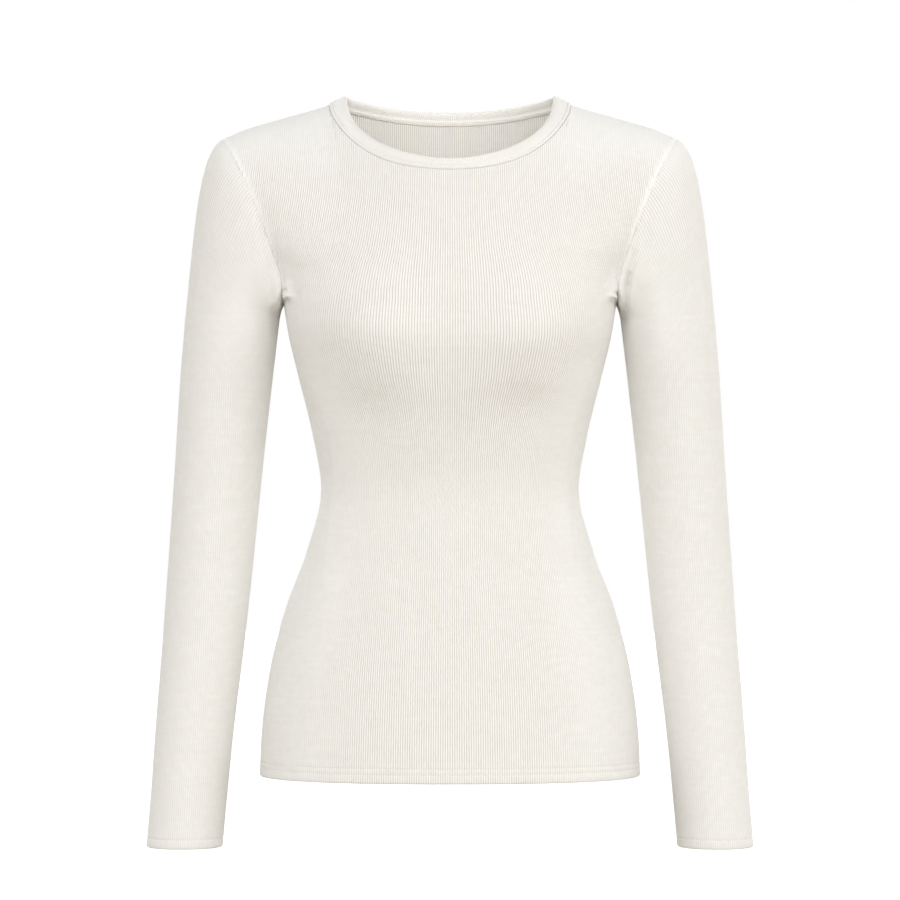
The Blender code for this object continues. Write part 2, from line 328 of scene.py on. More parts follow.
print("ribs round the hem:", 2 * (FRONT_RIBS[0]["count"] + BACK_RIBS[0]["count"]))

# %% [markdown]
# ## Lines through a table
#
# `through` draws a smooth line through one column of a table. It never swings past the
# values in the rows, so the waist stays the narrowest place. `power` is a quarter of a
# rounded square, which is the shape of a level section through a clothed body.

# %% Helpers for smooth lines


def through(rows, key, name, at):
    """A smooth line through one column of a table, with no overshoot between the rows."""
    x = np.array([row[key] for row in rows], float)
    y = np.array([row[name] for row in rows], float)
    if x[0] > x[-1]:
        x, y = x[::-1], y[::-1]
    step = np.diff(x)
    slope = np.diff(y) / step
    both = slope[:-1] * slope[1:]
    total = np.where(both > 0, slope[:-1] + slope[1:], 1)
    lean = np.concatenate([slope[:1], np.where(both > 0, 2 * both / total, 0), slope[-1:]])
    at = np.clip(at, x[0], x[-1])
    i = np.clip(np.searchsorted(x, at, side="right") - 1, 0, len(step) - 1)
    t = (at - x[i]) / step[i]
    hold = y[i] * (1 + 2 * t) * (1 - t) ** 2 + y[i + 1] * t * t * (3 - 2 * t)
    turn = lean[i] * t * (1 - t) ** 2 - lean[i + 1] * t * t * (1 - t)
    return hold + turn * step[i]


def power(share, round_by):
    """The other side of a rounded corner: 1 at 0 and 0 at 1."""
    return (1 - np.clip(share, 0, 1) ** round_by) ** (1 / round_by)


def ease(value, low, high):
    """0 below low, 1 above high, and a soft step between them."""
    t = np.clip((value - low) / (high - low), 0, 1)
    return t * t * (3 - 2 * t)


def bell(value, wide):
    """1 at 0, and soft on both sides of it."""
    return np.exp(-((value / wide) ** 2))


def run_along(line):
    """How far each point of a line lies along it."""
    return np.concatenate([[0], np.cumsum(np.linalg.norm(np.diff(line, axis=0), axis=1))])


def unit(vectors):
    return vectors / np.linalg.norm(vectors, axis=-1, keepdims=True)


print("half width at the waist:", float(through(BODY, "z", "half", -338)))

# %% [markdown]
# ## The form of a panel
#
# A panel is a flat cut of cloth laid round a figure. Here it is worked out row by row.
# Each row starts at the middle, runs round the body to the side seam or the armhole, and
# holds equal steps along the cloth, so the pattern isn't stretched by the modelling.

# %% The shape of the front and back


def named(side):
    return "front" if side == FRONT else "back"


def round_at(level):
    """How square a section is: a little more so just below the arms."""
    return ROUND + SQUARER * ease(level, -232, -190) * (1 - ease(level, -177, -135))


def edge_x(level):
    """How far the side seam or the armhole lies from the middle."""
    seam = through(BODY, "z", "half", level)
    return np.where(level < UNDERARM_Z, seam, through(ARMHOLE, "z", "x", level))


def edge_share(level, side):
    """The share of the body's depth that this edge has reached."""
    return np.where(level < UNDERARM_Z, 0, through(ARMHOLE, "z", named(side), level))


def ridge_z(x, side):
    """Height of the top of the form, with no neck cut out of it."""
    return through(RIDGE, "x", named(side), x)


def top_z(x, side):
    """Height of the top edge: the neck seam, then the shoulder seam."""
    forward = np.sqrt(1 - np.clip(x / NECK_HALF, 0, 1) ** 2)
    seam = through(NECK_SEAM, "share", named(side), forward)
    return np.where(x < NECK_HALF, seam, ridge_z(x, side))


print("top of the form in the middle of the front: %.1f mm" % ridge_z(0, FRONT))

# %% [markdown]
# ## Rows laid round the body
#
# A level row is a rounded square, cut off at the armhole. To space its points evenly the
# code measures along a very fine copy of the row first. Above the fullest level the depth
# falls away towards the shoulder. Equal steps matter here: with uneven ones the knit would
# look pulled where nothing pulls it.

# %% Half a panel
HALF_STEPS = 400  # steps along half a row of a form
FINE_STEPS = 1500  # steps of the line that a row is measured on
EVEN = np.linspace(0, 1, HALF_STEPS + 1)


def half_panel(levels, side, t=EVEN):
    """Outer face of half a panel, and the length of each row along the cloth."""
    full = FULLEST[side]
    points = np.zeros((len(levels), len(t), 3))
    length = np.zeros(len(levels))
    for r, level in enumerate(levels):
        rise = max(0.0, (level - full) / (TIP_Z - full))
        end_x = float(edge_x(level))
        square = float(round_at(level))
        wide = end_x / float(power(edge_share(level, side), square))
        depth = float(through(BODY, "z", named(side), level))
        shown = depth * float(power(rise, SHOULDER_ROUND))
        turn = np.linspace(0, math.asin(min(1.0, end_x / wide) ** (square / 2)), FINE_STEPS)
        line_x = wide * np.sin(turn) ** (2 / square)
        line_y = shown * np.cos(turn) ** (2 / square)
        run = np.concatenate([[0], np.cumsum(np.hypot(np.diff(line_x), np.diff(line_y)))])
        angle = np.interp(t, run / run[-1], turn)
        x = wide * np.sin(angle) ** (2 / square)
        z = level + 0 * x
        if rise > 0:
            z = full + (top_z(t * HALF_SHOULDER, side) - full) * rise
        ridge = ridge_z(x, side)
        fall = power((z - full) / (ridge - full), SHOULDER_ROUND)
        square = round_at(z)
        across = power(x / (edge_x(z) / power(edge_share(z, side), square)), square)
        y = depth * across * fall
        if side == FRONT:
            lift = through(BUST, "z", "rise", z)
            y = y + BUST_RISE * bell(x - BUST_X, BUST_WIDE) * lift * across
        y = y + through(PULLED, "z", "mm", z) * bell(x - edge_x(z), PULLED_WIDE)
        points[r] = np.stack([x, side * y, z], axis=-1)
        length[r] = run[-1]
    return points, length


print("half the front at the waist: %.0f mm" % half_panel([-338.0], FRONT)[1][0])

# %% [markdown]
# ## Directions square to the cloth
#
# Ribs, creases and sewing all stand up from the cloth or press into it, so each point
# needs the direction that is square to the surface. It is the cross product of the way
# along a row and the way up a column.

# %% Square to a form


def square_to(points, outward, ring=False):
    """Unit directions out of a grid of points."""
    up = np.gradient(points, axis=0)
    if ring:  # the first and last columns are the same line
        closed = np.concatenate([points[:, -2:-1], points, points[:, 1:2]], axis=1)
        along = (closed[:, 2:] - closed[:, :-2]) / 2
    else:
        along = np.gradient(points, axis=1)
    return unit(np.cross(along, up)) * outward


upright = np.array([[(0.0, 0, 0), (1, 0, 0)], [(0, 0, 1), (1, 0, 1)]])
print("square to an upright sheet:", square_to(upright, 1)[0, 0])

# %% [markdown]
# ## Creases
#
# A filled-out top still creases where it is pulled: short deep pinches at the armpit, a
# long trough down the sleeve beside the armhole, and soft shallow folds at the waist and
# elbow. Each row of these tables is one crease, from one place to another, with how wide
# it is and how far it presses in. A negative depth is a raised fold. They are uneven on
# purpose, as real ones are.

# %% Creases of the front and back
CREASES = {
    "front": table(
        "x z to_x to_z wide deep",
        (-141.5, -167.5, -138.5, -170, 1.6, 5.0),
        (-140, -176, -137, -178.5, 1.5, 4.2),
        (-137, -166, -128, -172, 3.4, 0.7),
        (-136, -181, -124, -187, 4.2, 0.7),
        (-143, -172.5, -137, -173.5, 2.0, -1.2),
        (-133, -160, -112, -150, 6, 0.7),
        (-129, -184, -108, -199, 7, 0.8),
        (142.5, -170.5, 139.5, -172.5, 1.8, 6.0),
        (141.8, -178, 139.5, -180, 1.6, 5.0),
        (138.5, -168, 130, -160, 3.4, 0.7),
        (138, -181, 129, -188, 4.0, 0.6),
        (143.5, -175, 139, -175.5, 2.0, -1.2),
        (134, -158, 120, -146, 5, 0.6),
        (132, -186, 112, -203, 7, 0.7),
        (-27, -412, -25, -484, 8, 1.5),
        (-62, -268, -50, -352, 14, 1.0),
        (78, -330, 104, -342, 6, 0.5),
        (-101, -352, -70, -340, 7, 0.5),
        (64, -388, 112, -402, 8, 0.45),
    ),
    "back": table(
        "x z to_x to_z wide deep",
        (-139, -162, -130, -173, 2.4, 2.2),
        (-138, -179, -127, -184, 2.4, 1.8),
        (-134, -160, -104, -146, 7, 0.9),
        (141, -163, 132, -171, 2.2, 2.3),
        (139, -180, 129, -186, 2.2, 1.6),
        (133, -187, 106, -208, 8, 0.8),
        (-86, -318, -28, -327, 8, 0.9),
        (-96, -345, -46, -349, 7, 0.7),
        (30, -333, 92, -321, 9, 0.8),
        (12, -361, 78, -352, 8, 0.6),
        (4, -240, 7, -330, 13, 1.0),
        (-60, -110, -66, -168, 14, 0.8),
        (63, -118, 70, -180, 15, 0.7),
    ),
}
print("creases:", {name: len(rows) for name, rows in CREASES.items()})

# %% [markdown]
# ## Creases of the sleeves
#
# A sleeve has two faces, so its rows also say on which face the crease lies. The long ones
# follow the armhole down from the cap, and the short ones cross the elbow.

# %% Creases of the sleeves
CREASES |= {
    "sleeve_left": table(
        "x z to_x to_z wide deep side",
        (157, -136, 150.5, -166, 2.4, 4.2, FRONT),
        (151.5, -154, 148, -198, 2.6, 7.2, FRONT),
        (165, -168, 160, -236, 8, 1.8, FRONT),
        (155, -158, 153, -200, 2.6, -0.5, FRONT),
        (172, -368, 205, -382, 7, 0.6, FRONT),
        (176, -408, 214, -396, 8, 0.5, FRONT),
        (198, -586, 238, -579, 7, 0.4, FRONT),
        (158, -125, 151, -205, 4.5, 1.8, BACK),
        (166, -360, 208, -352, 7, 0.7, BACK),
        (170, -402, 218, -408, 9, 0.8, BACK),
        (192, -610, 232, -604, 6, 0.4, BACK),
    ),
    "sleeve_right": table(
        "x z to_x to_z wide deep side",
        (-160.5, -116, -150.5, -176, 3.6, 1.6, FRONT),
        (-150.5, -170, -149.5, -216, 3.6, 1.7, FRONT),
        (-166, -142, -164, -232, 6, -0.5, FRONT),
        (-174, -355, -210, -364, 8, 0.5, FRONT),
        (-172, -398, -222, -404, 8, 0.6, FRONT),
        (-200, -560, -236, -568, 7, 0.4, FRONT),
        (-160, -120, -152, -210, 4.2, 1.9, BACK),
        (-168, -372, -204, -360, 8, 0.8, BACK),
        (-174, -415, -212, -421, 8, 0.6, BACK),
    ),
}
print("creases:", {name: len(rows) for name, rows in CREASES.items()})

# %% [markdown]
# ## Pressing a crease in
#
# Across its line a crease is a bell, and along it the depth swells and fades like half a
# wave. So it has no hard end, which a cut with a sculpting brush easily gets.

# %% Press the creases in
CREASE_SOFT = 0.7  # under 1, a crease keeps its depth over more of its length


def pressed_in(name, points, out):
    """How far the creases of a piece press each of its points in, in mm."""
    depth = np.zeros(points.shape[:-1])
    for crease in CREASES[name]:
        start = np.array((crease["x"], crease["z"]), float)
        way = np.array((crease["to_x"], crease["to_z"])) - start
        reach = np.linalg.norm(way)
        way = way / reach
        from_start = points[..., (0, 2)] - start
        along = from_start @ way
        aside = from_start[..., 0] * way[1] - from_start[..., 1] * way[0]
        past = np.maximum(0, np.maximum(-along, along - reach))
        fade = np.sin(np.pi * np.clip(along / reach * 0.84 + 0.08, 0, 1)) ** CREASE_SOFT
        wide = crease["wide"]
        shape = crease["deep"] * bell(aside, wide) * fade * bell(past, wide)
        if "side" in crease:
            shape = shape * ease(out[..., 1] * crease["side"], -0.1, 0.35)
        depth += shape
    return depth


depths = [row["deep"] for rows in CREASES.values() for row in rows]
print("deepest crease: %.1f mm" % max(depths))

# %% [markdown]
# ## From a flat grid to a wall of cloth
#
# `cloth_wall` starts from two flat grids, one for each face of the cloth, and moves every
# point to its place on the form. The outer grid is fine, four columns to a rib. The inner
# one is plainer, because the inside is hardly seen and its ribs are left to the material.
# Bridging the rims of the two grids closes the wall, and merging doubles then removes the
# slivers where ribs run out at an edge. The map that is stored with the mesh counts ribs
# across and rows of stitches up, so a material can follow the knit exactly.

# %% Grids, rims and objects


def placed_object(name, data):
    """A new object at the origin of the scene."""
    made = bpy.data.objects.new(name, data)
    bpy.context.scene.collection.objects.link(made)
    return made


def object_from(bm, name, mesh_name):
    """Turns a bmesh into an object."""
    mesh = bpy.data.meshes.new(mesh_name)
    bm.to_mesh(mesh)
    bm.free()
    return placed_object(name, mesh)


def laid_grid(bm, points, counts, map_layer):
    """A flat grid whose points are moved to points, with its map set to counts."""
    rows, cols = points.shape[:2]
    made = bmesh.ops.create_grid(bm, x_segments=cols - 1, y_segments=rows - 1, size=1)
    verts = made["verts"]
    places = (points / 1000).reshape(-1, 3)
    pairs = counts.reshape(-1, 2)
    for vert, place, pair in zip(verts, places, pairs):
        vert.co = place
        for loop in vert.link_loops:
            loop[map_layer].uv = pair
    return np.array(verts, dtype=object).reshape(rows, cols)


def rim(verts):
    """The edges along a line of points."""
    pairs = zip(verts[:-1], verts[1:])
    return [next(e for e in a.link_edges if e.other_vert(a) == b) for a, b in pairs]


print("a wall of cloth is", CLOTH, "mm thick")

# %% [markdown]
# ## Closing the wall
#
# Two more values are stored with the mesh. `inside` marks the faces of the inner grid, and
# `plain` marks the places where the cloth lies flat, so the material leaves the painted
# groove shade out there and paints them with the full crest highlight. Edges that turn
# sharply are kept sharp, so the rim of the cloth looks cut.

# %% Wall of cloth from two grids
MERGE = 2e-6  # metres within which two points become one
SHARP = 1.2  # radians from which an edge is kept sharp


def cloth_wall(name, outer, inner, outer_counts, inner_counts, plain, ring=False):
    """A closed wall of cloth between an outer and an inner grid."""
    bm = bmesh.new()
    knit_map = bm.loops.layers.uv.new("knit")
    face_of = bm.faces.layers.float.new("inside")
    plain_of = bm.verts.layers.float.new("plain")
    a = laid_grid(bm, outer, outer_counts, knit_map)
    for vert, share in zip(a.ravel(), plain.ravel()):
        vert[plain_of] = share
    outer_faces = len(bm.faces)
    b = laid_grid(bm, inner, inner_counts, knit_map)
    bm.faces.ensure_lookup_table()
    for face in bm.faces[outer_faces:]:
        face[face_of] = 1.0
    lines = [(a[0], b[0]), (a[-1], b[-1])]
    if not ring:
        lines += [(a[:, 0], b[:, 0]), (a[:, -1], b[:, -1])]
    rims = [rim(p) + rim(q) for p, q in lines if (p[0].co - q[0].co).length > 1e-5]
    for edges in rims:
        bmesh.ops.bridge_loops(bm, edges=edges)
    bmesh.ops.remove_doubles(bm, verts=bm.verts, dist=MERGE)
    bmesh.ops.recalc_face_normals(bm, faces=bm.faces)
    for face in bm.faces:
        face.smooth = True
    for edge in bm.edges:
        if len(edge.link_faces) == 2 and edge.calc_face_angle(0) > SHARP:
            edge.smooth = False
    open_edges = sum(len(e.link_faces) != 2 for e in bm.edges)
    piece = object_from(bm, name + "_cloth", name)
    triangles = sum(len(p.vertices) - 2 for p in piece.data.polygons)
    print(f"{piece.name}: {triangles} triangles, {open_edges} edges not closed")
    return piece


print("points merge within", MERGE * 1000, "mm")

# %% [markdown]
# ## Height of the outer face
#
# What stands up from the plain form is added here, square to it: the ribs with their
# round tops and narrow grooves, the flat tape along an armhole, and the small dips where
# a seam or a row of stitches draws the cloth in. Each is a few tenths of a millimetre, and
# together they are what the eye reads as knitted cloth.

# %% Ribs, tapes and dips
RIB_STEPS = np.array((0, 0.2, 0.5, 0.8))  # where the four columns of a rib lie
RIB_HEIGHTS = np.array((-0.5, 0.28, 0.5, 0.28))
SEWN_WIDE = 0.75  # how far from a row of stitches its dip is felt
SEWN_DIP = 0.38  # how deep it is
SEWN_FLAT = 0.5  # how much of a rib is lost in it
TAPE_FLAT = 0.75  # the same on the tape


def rib_columns(most):
    """Rib numbers of all the columns from one edge of a piece to the other."""
    half = (np.arange(most)[:, None] + RIB_STEPS).ravel()
    half = np.append(half, most)
    return np.concatenate([-half[:0:-1], half])


def rib_height(number):
    """Height of the knit at a rib number, from -0.5 in a groove to 0.5 on a crest."""
    steps, heights = np.append(RIB_STEPS, 1), np.append(RIB_HEIGHTS, RIB_HEIGHTS[0])
    return np.interp(np.abs(number) % 1, steps, heights)


def sewn_at(up, rows):
    """1 under each row of stitches, and less beside it."""
    return sum(bell(up - row, SEWN_WIDE) for row in rows)


print("columns across a panel:", len(rib_columns(MOST_RIBS)))

# %% [markdown]
# ## Where the rows and ribs lie
#
# A mesh needs rows of faces only where the form turns, so they crowd together at the hem,
# the armpit and the shoulder. The ribs are counted first and placed second. Each level has
# its number of ribs and their width in the middle and over the bust, and the rest of the
# row is shared out towards the side. Spreading the ribs evenly would be shorter, but real
# rib opens over the bust and closes at the waist.

# %% Rows of the front and back
HEM_STITCHES = (7.4, 12.4)  # heights of the two rows above the edge
HEM_EDGE = (0, 0.2, 0.7, 1.5, 4)
HEM_SEWN = (6.2, 6.9, 7.4, 7.9, 8.6, 10, 11.3, 11.9, 12.4, 12.9, 13.6, 14.2)
HEM_ROWS = np.array(HEM_EDGE + HEM_SEWN + (17, 21, 27))
EDGE_ROUND = 1.45


def edge_inset(height):
    """How far the round fold of a turned edge stands back at a height above it."""
    return EDGE_ROUND - np.sqrt(EDGE_ROUND**2 - np.clip(EDGE_ROUND - height, 0, 1.3) ** 2)


def panel_levels():
    """Heights of the rows of a panel, close together at the hem, armpit and shoulder."""
    under = (-193, -188, -184, -181, -179)
    near = np.array((0, 0.7, 1.5, 2.3, 3.1, 4, 4.9, 5.9, 6.9, 8, 9.2, 10.5, 12, 14, 16.5))
    climb = np.linspace(-157, TIP_Z - 5.5, 25)
    last = TIP_Z - np.array((2.8, 1.3, 0.5, 0))
    body = np.linspace(-546, -199, 36)
    return np.concatenate([HEM_Z + HEM_ROWS, body, under, UNDERARM_Z + near, climb, last])


print("rows in a panel:", len(panel_levels()))

# %% [markdown]
# ## Ribs along a row
#
# The armhole cuts ribs off, and the cut ones are as wide as their neighbours just below.
# The rows near the shoulder aren't level, so a rib's place there is read between two rows.

# %% Ribs of the front and back


def rib_lines(number, levels, lengths, half, side):
    """How far from the middle each rib lies at each level, in mm across the front."""
    rows = RIBS[side]
    middle = through(rows, "z", "middle", levels)
    bust = through(rows, "z", "bust", levels)
    count = through(rows, "z", "count", levels)
    cut = (np.interp(UNDERARM_Z, levels, lengths) - lengths) / SIDE_PITCH[side]
    cut_off = through(rows, "z", "count", UNDERARM_Z) - cut
    above = ease(levels, -165, -150)
    count = np.where(levels > UNDERARM_Z, cut_off * (1 - above) + count * above, count)
    q = np.linspace(0, 1, 501)
    over_bust = ease(q, 0.0, 0.26) * bell(np.maximum(q - 0.38, 0), 0.14)
    outer = ease(q, 0.5, 0.85)
    lines = np.zeros((len(levels), len(number)))
    for r in range(len(levels)):
        pitch = middle[r] + (bust[r] - middle[r]) * over_bust
        spare = lengths[r] / count[r] - pitch.mean()
        pitch = pitch + spare * outer / outer.mean()
        run = np.concatenate([[0], np.cumsum((pitch[1:] + pitch[:-1]) / 2)])
        shares = np.interp(number / count[r], q, run / run[-1])
        beyond = np.maximum(0, number - count[r]) * pitch[-1]
        lines[r] = np.interp(shares, EVEN, half[r, :, 0]) + beyond
    return lines


def panel_ribs(number, levels, lengths, points, side):
    """Where each rib crosses each row, as a share of the way from the middle to the edge."""
    half = points[:, HALF_STEPS:]
    whole = np.unique(np.abs(number))
    lines = rib_lines(whole, levels, lengths, half, side)
    shares = np.zeros((len(levels), len(number)))
    count = np.zeros(len(levels))
    for r, row in enumerate(half):
        height = row[:, 2]
        below = np.searchsorted(levels, height, side="right") - 1
        below = np.clip(below, 0, len(levels) - 2)
        part = np.clip((height - levels[below]) / (levels[below + 1] - levels[below]), 0, 1)
        counted = np.array([
            np.interp(x, lines[k], whole) * (1 - w) + np.interp(x, lines[k + 1], whole) * w
            for x, k, w in zip(row[:, 0], below, part)
        ])
        counted = np.maximum.accumulate(counted + EVEN * 1e-6)
        shares[r] = np.interp(np.abs(number), counted, EVEN) * np.sign(number)
        count[r] = counted[-1]
    return shares, count


print("ribs from the middle to the side at the hem:", FRONT_RIBS[0]["count"])

# %% [markdown]
# ## Front and back
#
# Both panels are made by one function. It reads the form at each row, finds where each
# rib crosses that row, and adds the height of the knit. Ribs past the edge of the panel
# all fall on the edge, where they merge: that is how the armhole cuts them off.

# %% Reading a form


def along_rows(grid, shares):
    """Reads a form, whose columns are even from -1 to 1, at these shares of each row."""
    cols = grid.shape[1]
    at = (shares + 1) / 2 * (cols - 1)
    i = np.clip(at.astype(int), 0, cols - 2)
    part = (at - i)[..., None]
    rows = np.arange(grid.shape[0])[:, None]
    return grid[rows, i] * (1 - part) + grid[rows, i + 1] * part


def whole_panel(levels, side):
    """The full width of a panel's form, the way out of it, and its row lengths."""
    half, lengths = half_panel(levels, side)
    points = np.concatenate([half[:, :0:-1] * (-1, 1, 1), half], axis=1)
    out = square_to(points, -side)
    points[..., 1] -= side * pressed_in(named(side), points, out)
    return points, out, lengths


def courses(points):
    """How many rows of stitches lie below each row of points."""
    step = np.linalg.norm(np.diff(points, axis=0), axis=-1).mean(axis=1)
    return np.concatenate([[0], np.cumsum(step)]) / COURSE


def keep_apart(points, side):
    """Keeps the front and back from crossing at the side and shoulder seams."""
    points[..., 1] = side * np.maximum(side * points[..., 1], TOUCH / 2)


print("one row of stitches is", COURSE, "mm high")

# %% [markdown]
# ## The knit on a panel
#
# The outer face gets the ribs, the tape and the dips. The inner face is the same form
# pushed in by the thickness of the cloth, which doubles at the turned hem.

# %% Front and back panels
INSIDE_COLUMNS = 111  # the inner face is plainer than the outer one
NECK_DIP, NECK_DIP_WIDE = 0.25, 0.8  # where the top edge is sewn on
CREASED_THICKER = 0.3  # how much a crease also thickens the wall


def make_panel(side):
    number = rib_columns(MOST_RIBS)
    levels = panel_levels()
    points, out, lengths = whole_panel(levels, side)
    rib_shares, count = panel_ribs(number, levels, lengths, points, side)
    shares = np.clip(rib_shares, -1, 1)
    outer = along_rows(points, shares)
    way = unit(along_rows(out, shares))
    to_edge = (1 - np.abs(shares)) * lengths[:, None]
    up = (levels - HEM_Z)[:, None]
    climbed = courses(points)
    to_top = (climbed[-1] - climbed)[:, None] * COURSE
    taped = (levels >= UNDERARM_Z)[:, None] * ease(TAPE_WIDE + 0.3 - to_edge, 0, 0.7)
    flat = FLAT_SHOULDER * ease(way[..., 2], 0.3, 0.8) * (levels > ARM_TOP_Z)[:, None]
    relief = (1 - TAPE_FLAT * taped) * (1 - flat)
    relief = relief * ease(to_edge, 0.2, 1.2) * ease(to_top, 0.2, 1.6) * ease(up, 0, 1.2)
    sewn = sewn_at(up, HEM_STITCHES)
    relief = relief * (1 - SEWN_FLAT * sewn)
    full = ease(climbed, FULL_FROM, FULL_TO)[:, None]
    sunk = ease(np.abs(number), FADE_FROM, FADE_TO) * (1 - full)
    deep = RIB_DEEP + (SIDE_DEEP - RIB_DEEP) * sunk
    whole = np.where(np.abs(number) < count[:, None], number, 0.5)
    height = rib_height(whole) * deep * relief
    height = height + taped * TAPE_HIGH * ease(to_edge, 0, 0.9)
    height = height - SEWN_DIP * sewn - NECK_DIP * bell(to_top, NECK_DIP_WIDE)
    height = height - edge_inset(up)
    outer = outer + way * height[..., None]
    keep_apart(outer, side)
    numbers = np.clip(number, -count[:, None], count[:, None])
    counts = np.stack([numbers, climbed[:, None] + 0 * shares], axis=-1)

    shares = np.repeat(np.linspace(-1, 1, INSIDE_COLUMNS)[None], len(levels), axis=0)
    inner = along_rows(points, shares)
    way = unit(along_rows(out, shares))
    thick = np.where(up < HEM_DEEP, TURNED - edge_inset(up), CLOTH)
    pressed = along_rows(pressed_in(named(side), points, out)[..., None], shares)[..., 0]
    thick = thick + CREASED_THICKER * np.abs(pressed)
    inner = inner - way * thick[..., None]
    keep_apart(inner, side)
    numbers = np.array([np.interp(s, row, number) for s, row in zip(shares, rib_shares)])
    inner_counts = np.stack([numbers, climbed[:, None] + 0 * numbers], axis=-1)
    # These flat places get the full painted highlight in the material.
    plain = np.maximum(taped, flat)
    return cloth_wall(named(side), outer, inner, counts, inner_counts, plain)


front = make_panel(FRONT)
back = make_panel(BACK)

# %% [markdown]
# ## The form of a sleeve
#
# A set-in sleeve is a tube that ends in a sloping cap. Below the armpit each row is a
# level oval round the arm. In the cap, each line of cloth leaves the armhole square to the
# seam and bends down into the tube, so it is drawn as a curve between those two ways. The
# rows run from the cuff up, and each starts and ends at the underarm seam.

# %% The shape of a sleeve


def arm_size(z):
    """Middle and half width across, and middle and half depth, at a height."""
    names = ("inner", "outer", "middle", "deep")
    inner, outer, middle, deep = (through(ARM, "z", name, z) for name in names)
    return (inner + outer) / 2, (outer - inner) / 2, middle, deep


def arm_ring(z, turn):
    """A level ring of the left sleeve: turn 0 faces outwards and -90 degrees the front."""
    middle_x, half, middle_y, deep = arm_size(z)
    x = middle_x + half * np.cos(turn)
    return np.stack([x, middle_y + deep * np.sin(turn), z + 0 * x], axis=-1)


def even_turns(shares, z):
    """The turns that are even steps along the cloth of a level ring."""
    turn = np.linspace(0, np.pi, 721)
    line = arm_ring(z, turn)
    run = run_along(line)
    return np.interp(np.abs(shares), run / run[-1], turn) * np.sign(shares), run[-1]


def seam_line(side):
    """The armhole seam on one side, from the armpit up, and how far each point lies along."""
    line = half_panel(np.linspace(UNDERARM_Z, TIP_Z, 500), side)[0][:, -1]
    run = run_along(line)
    return run / run[-1], line


SEAM_LINES = {side: seam_line(side) for side in (FRONT, BACK)}


def armhole_line(turn):
    """Points of the armhole seam for these turns of the sleeve."""
    up_share = 1 - np.abs(turn) / np.pi
    points = np.zeros((len(turn), 3))
    for side, (run, line) in SEAM_LINES.items():
        here = turn * side >= 0
        for axis in range(3):
            points[here, axis] = np.interp(up_share[here], run, line[:, axis])
    return points


print("armhole seam meets the cap at %d turns" % len(SEAM_LINES[FRONT][0]))

# %% [markdown]
# ## The cap
#
# The cap is the part that a beginner gets wrong most often. Its cloth leaves the armhole
# square to the seam and ends up running down the arm. A curve with two handles between
# those ways gives a full, smooth cap, where straight lines would give a cone.

# %% The cap and the whole sleeve


def cap_rows(turn, shares):
    """Rows of the cap; share 0 is the armhole seam and 1 the first level ring."""
    degrees = 180 - np.abs(np.degrees(turn))
    leave = through(CAP, "angle", "leave", degrees)[:, None]
    arrive = through(CAP, "angle", "arrive", degrees)[:, None]
    up_share = ((1 - np.cos(np.radians(degrees))) / 2)[:, None] ** 2.2
    way = CAP_UNDER + (CAP_TOP - CAP_UNDER) * up_share
    way[:, 1] += CAP_BULGE * np.sin(turn)
    a = armhole_line(turn) + SEAM_OUT * TOUCH
    b = a + unit(way) * leave
    d = arm_ring(ARM_TOP_Z, turn)
    c = d + np.array((-0.1, 0, 1.0)) * arrive
    s = np.array(shares)[:, None, None]
    return a * (1 - s) ** 3 + 3 * b * s * (1 - s) ** 2 + 3 * c * s * s * (1 - s) + d * s**3


def whole_sleeve(levels, cap_shares):
    """The left sleeve's form from the cuff up, the way out of it, and its row lengths."""
    even = np.linspace(-1, 1, 401)
    rows, lengths = [], []
    for z in levels:
        turn, length = even_turns(even, z)
        rows.append(arm_ring(z, turn))
        lengths.append(length)
    turn, length = even_turns(even, ARM_TOP_Z)
    points = np.concatenate([np.array(rows), cap_rows(turn, cap_shares)])
    points[:, -1] = points[:, 0]
    lengths = np.array(lengths + [length] * len(cap_shares))
    return points, square_to(points, 1, ring=True), lengths


print("the cap swells forward and back by a share of", CAP_BULGE)

# %% [markdown]
# ## The sleeves
#
# Ribs run straight down a sleeve from the cap. The tube narrows towards the wrist, so
# the underarm seam cuts ribs away on both sides of it, which is where the shaping of a
# sleeve hides. The right sleeve mirrors the left one, but its creases are its own.

# %% Rows of a sleeve
CUFF_STITCHES = (7.6,)
MOST_SLEEVE_RIBS = 71
SLEEVE_INSIDE_COLUMNS = 97
UNDERARM_DIP, UNDERARM_DIP_WIDE = 0.2, 0.6  # along the underarm seam
SLEEVE_CREASED_THICKER = 0.4
CUFF_ROWS = np.array((0, 0.2, 0.7, 1.5, 3.6, 5.6, 6.6, 7.1, 7.6, 8.1, 8.8, 10.4, 14, 19))
CUFF_INSIDE_ROWS = np.array((0, 0.7, 7.9, 8.3, 18))
SAME, MIRRORED = np.array((1, 1, 1)), np.array((-1, 1, 1))


def sleeve_rows(fine):
    """Heights of the level rows, and the shares of the way down the cap, from the cuff up."""
    cuff = ARM[0]["z"]
    if fine:
        levels = np.concatenate([cuff + CUFF_ROWS, np.linspace(-616, -199, 74)])
        first = (0, 0.008, 0.018, 0.03, 0.045, 0.064, 0.088, 0.117, 0.15, 0.186)
        climb = np.concatenate([first, np.linspace(0.225, 1, 24)])
    else:
        levels = np.concatenate([cuff + CUFF_INSIDE_ROWS, np.linspace(-600, -205, 22)])
        climb = np.concatenate([(0, 0.04, 0.1, 0.18), np.linspace(0.28, 1, 10)])
    return levels, climb[::-1]


def fullest_rib(levels, climb):
    """How many ribs each row has from the outer middle to the underarm seam."""
    z = np.concatenate([levels, np.full(len(climb), ARM_TOP_Z)])
    return through(SLEEVE_RIBS, "z", "count", z)[:, None]


def below_seam(points):
    """How far each point lies from the armhole seam, along its column."""
    step = np.linalg.norm(np.diff(points, axis=0), axis=-1)
    return np.concatenate([np.cumsum(step[::-1], axis=0)[::-1], 0 * points[:1, :, 0]])


print("ribs round a sleeve:", 2 * MOST_SLEEVE_RIBS)

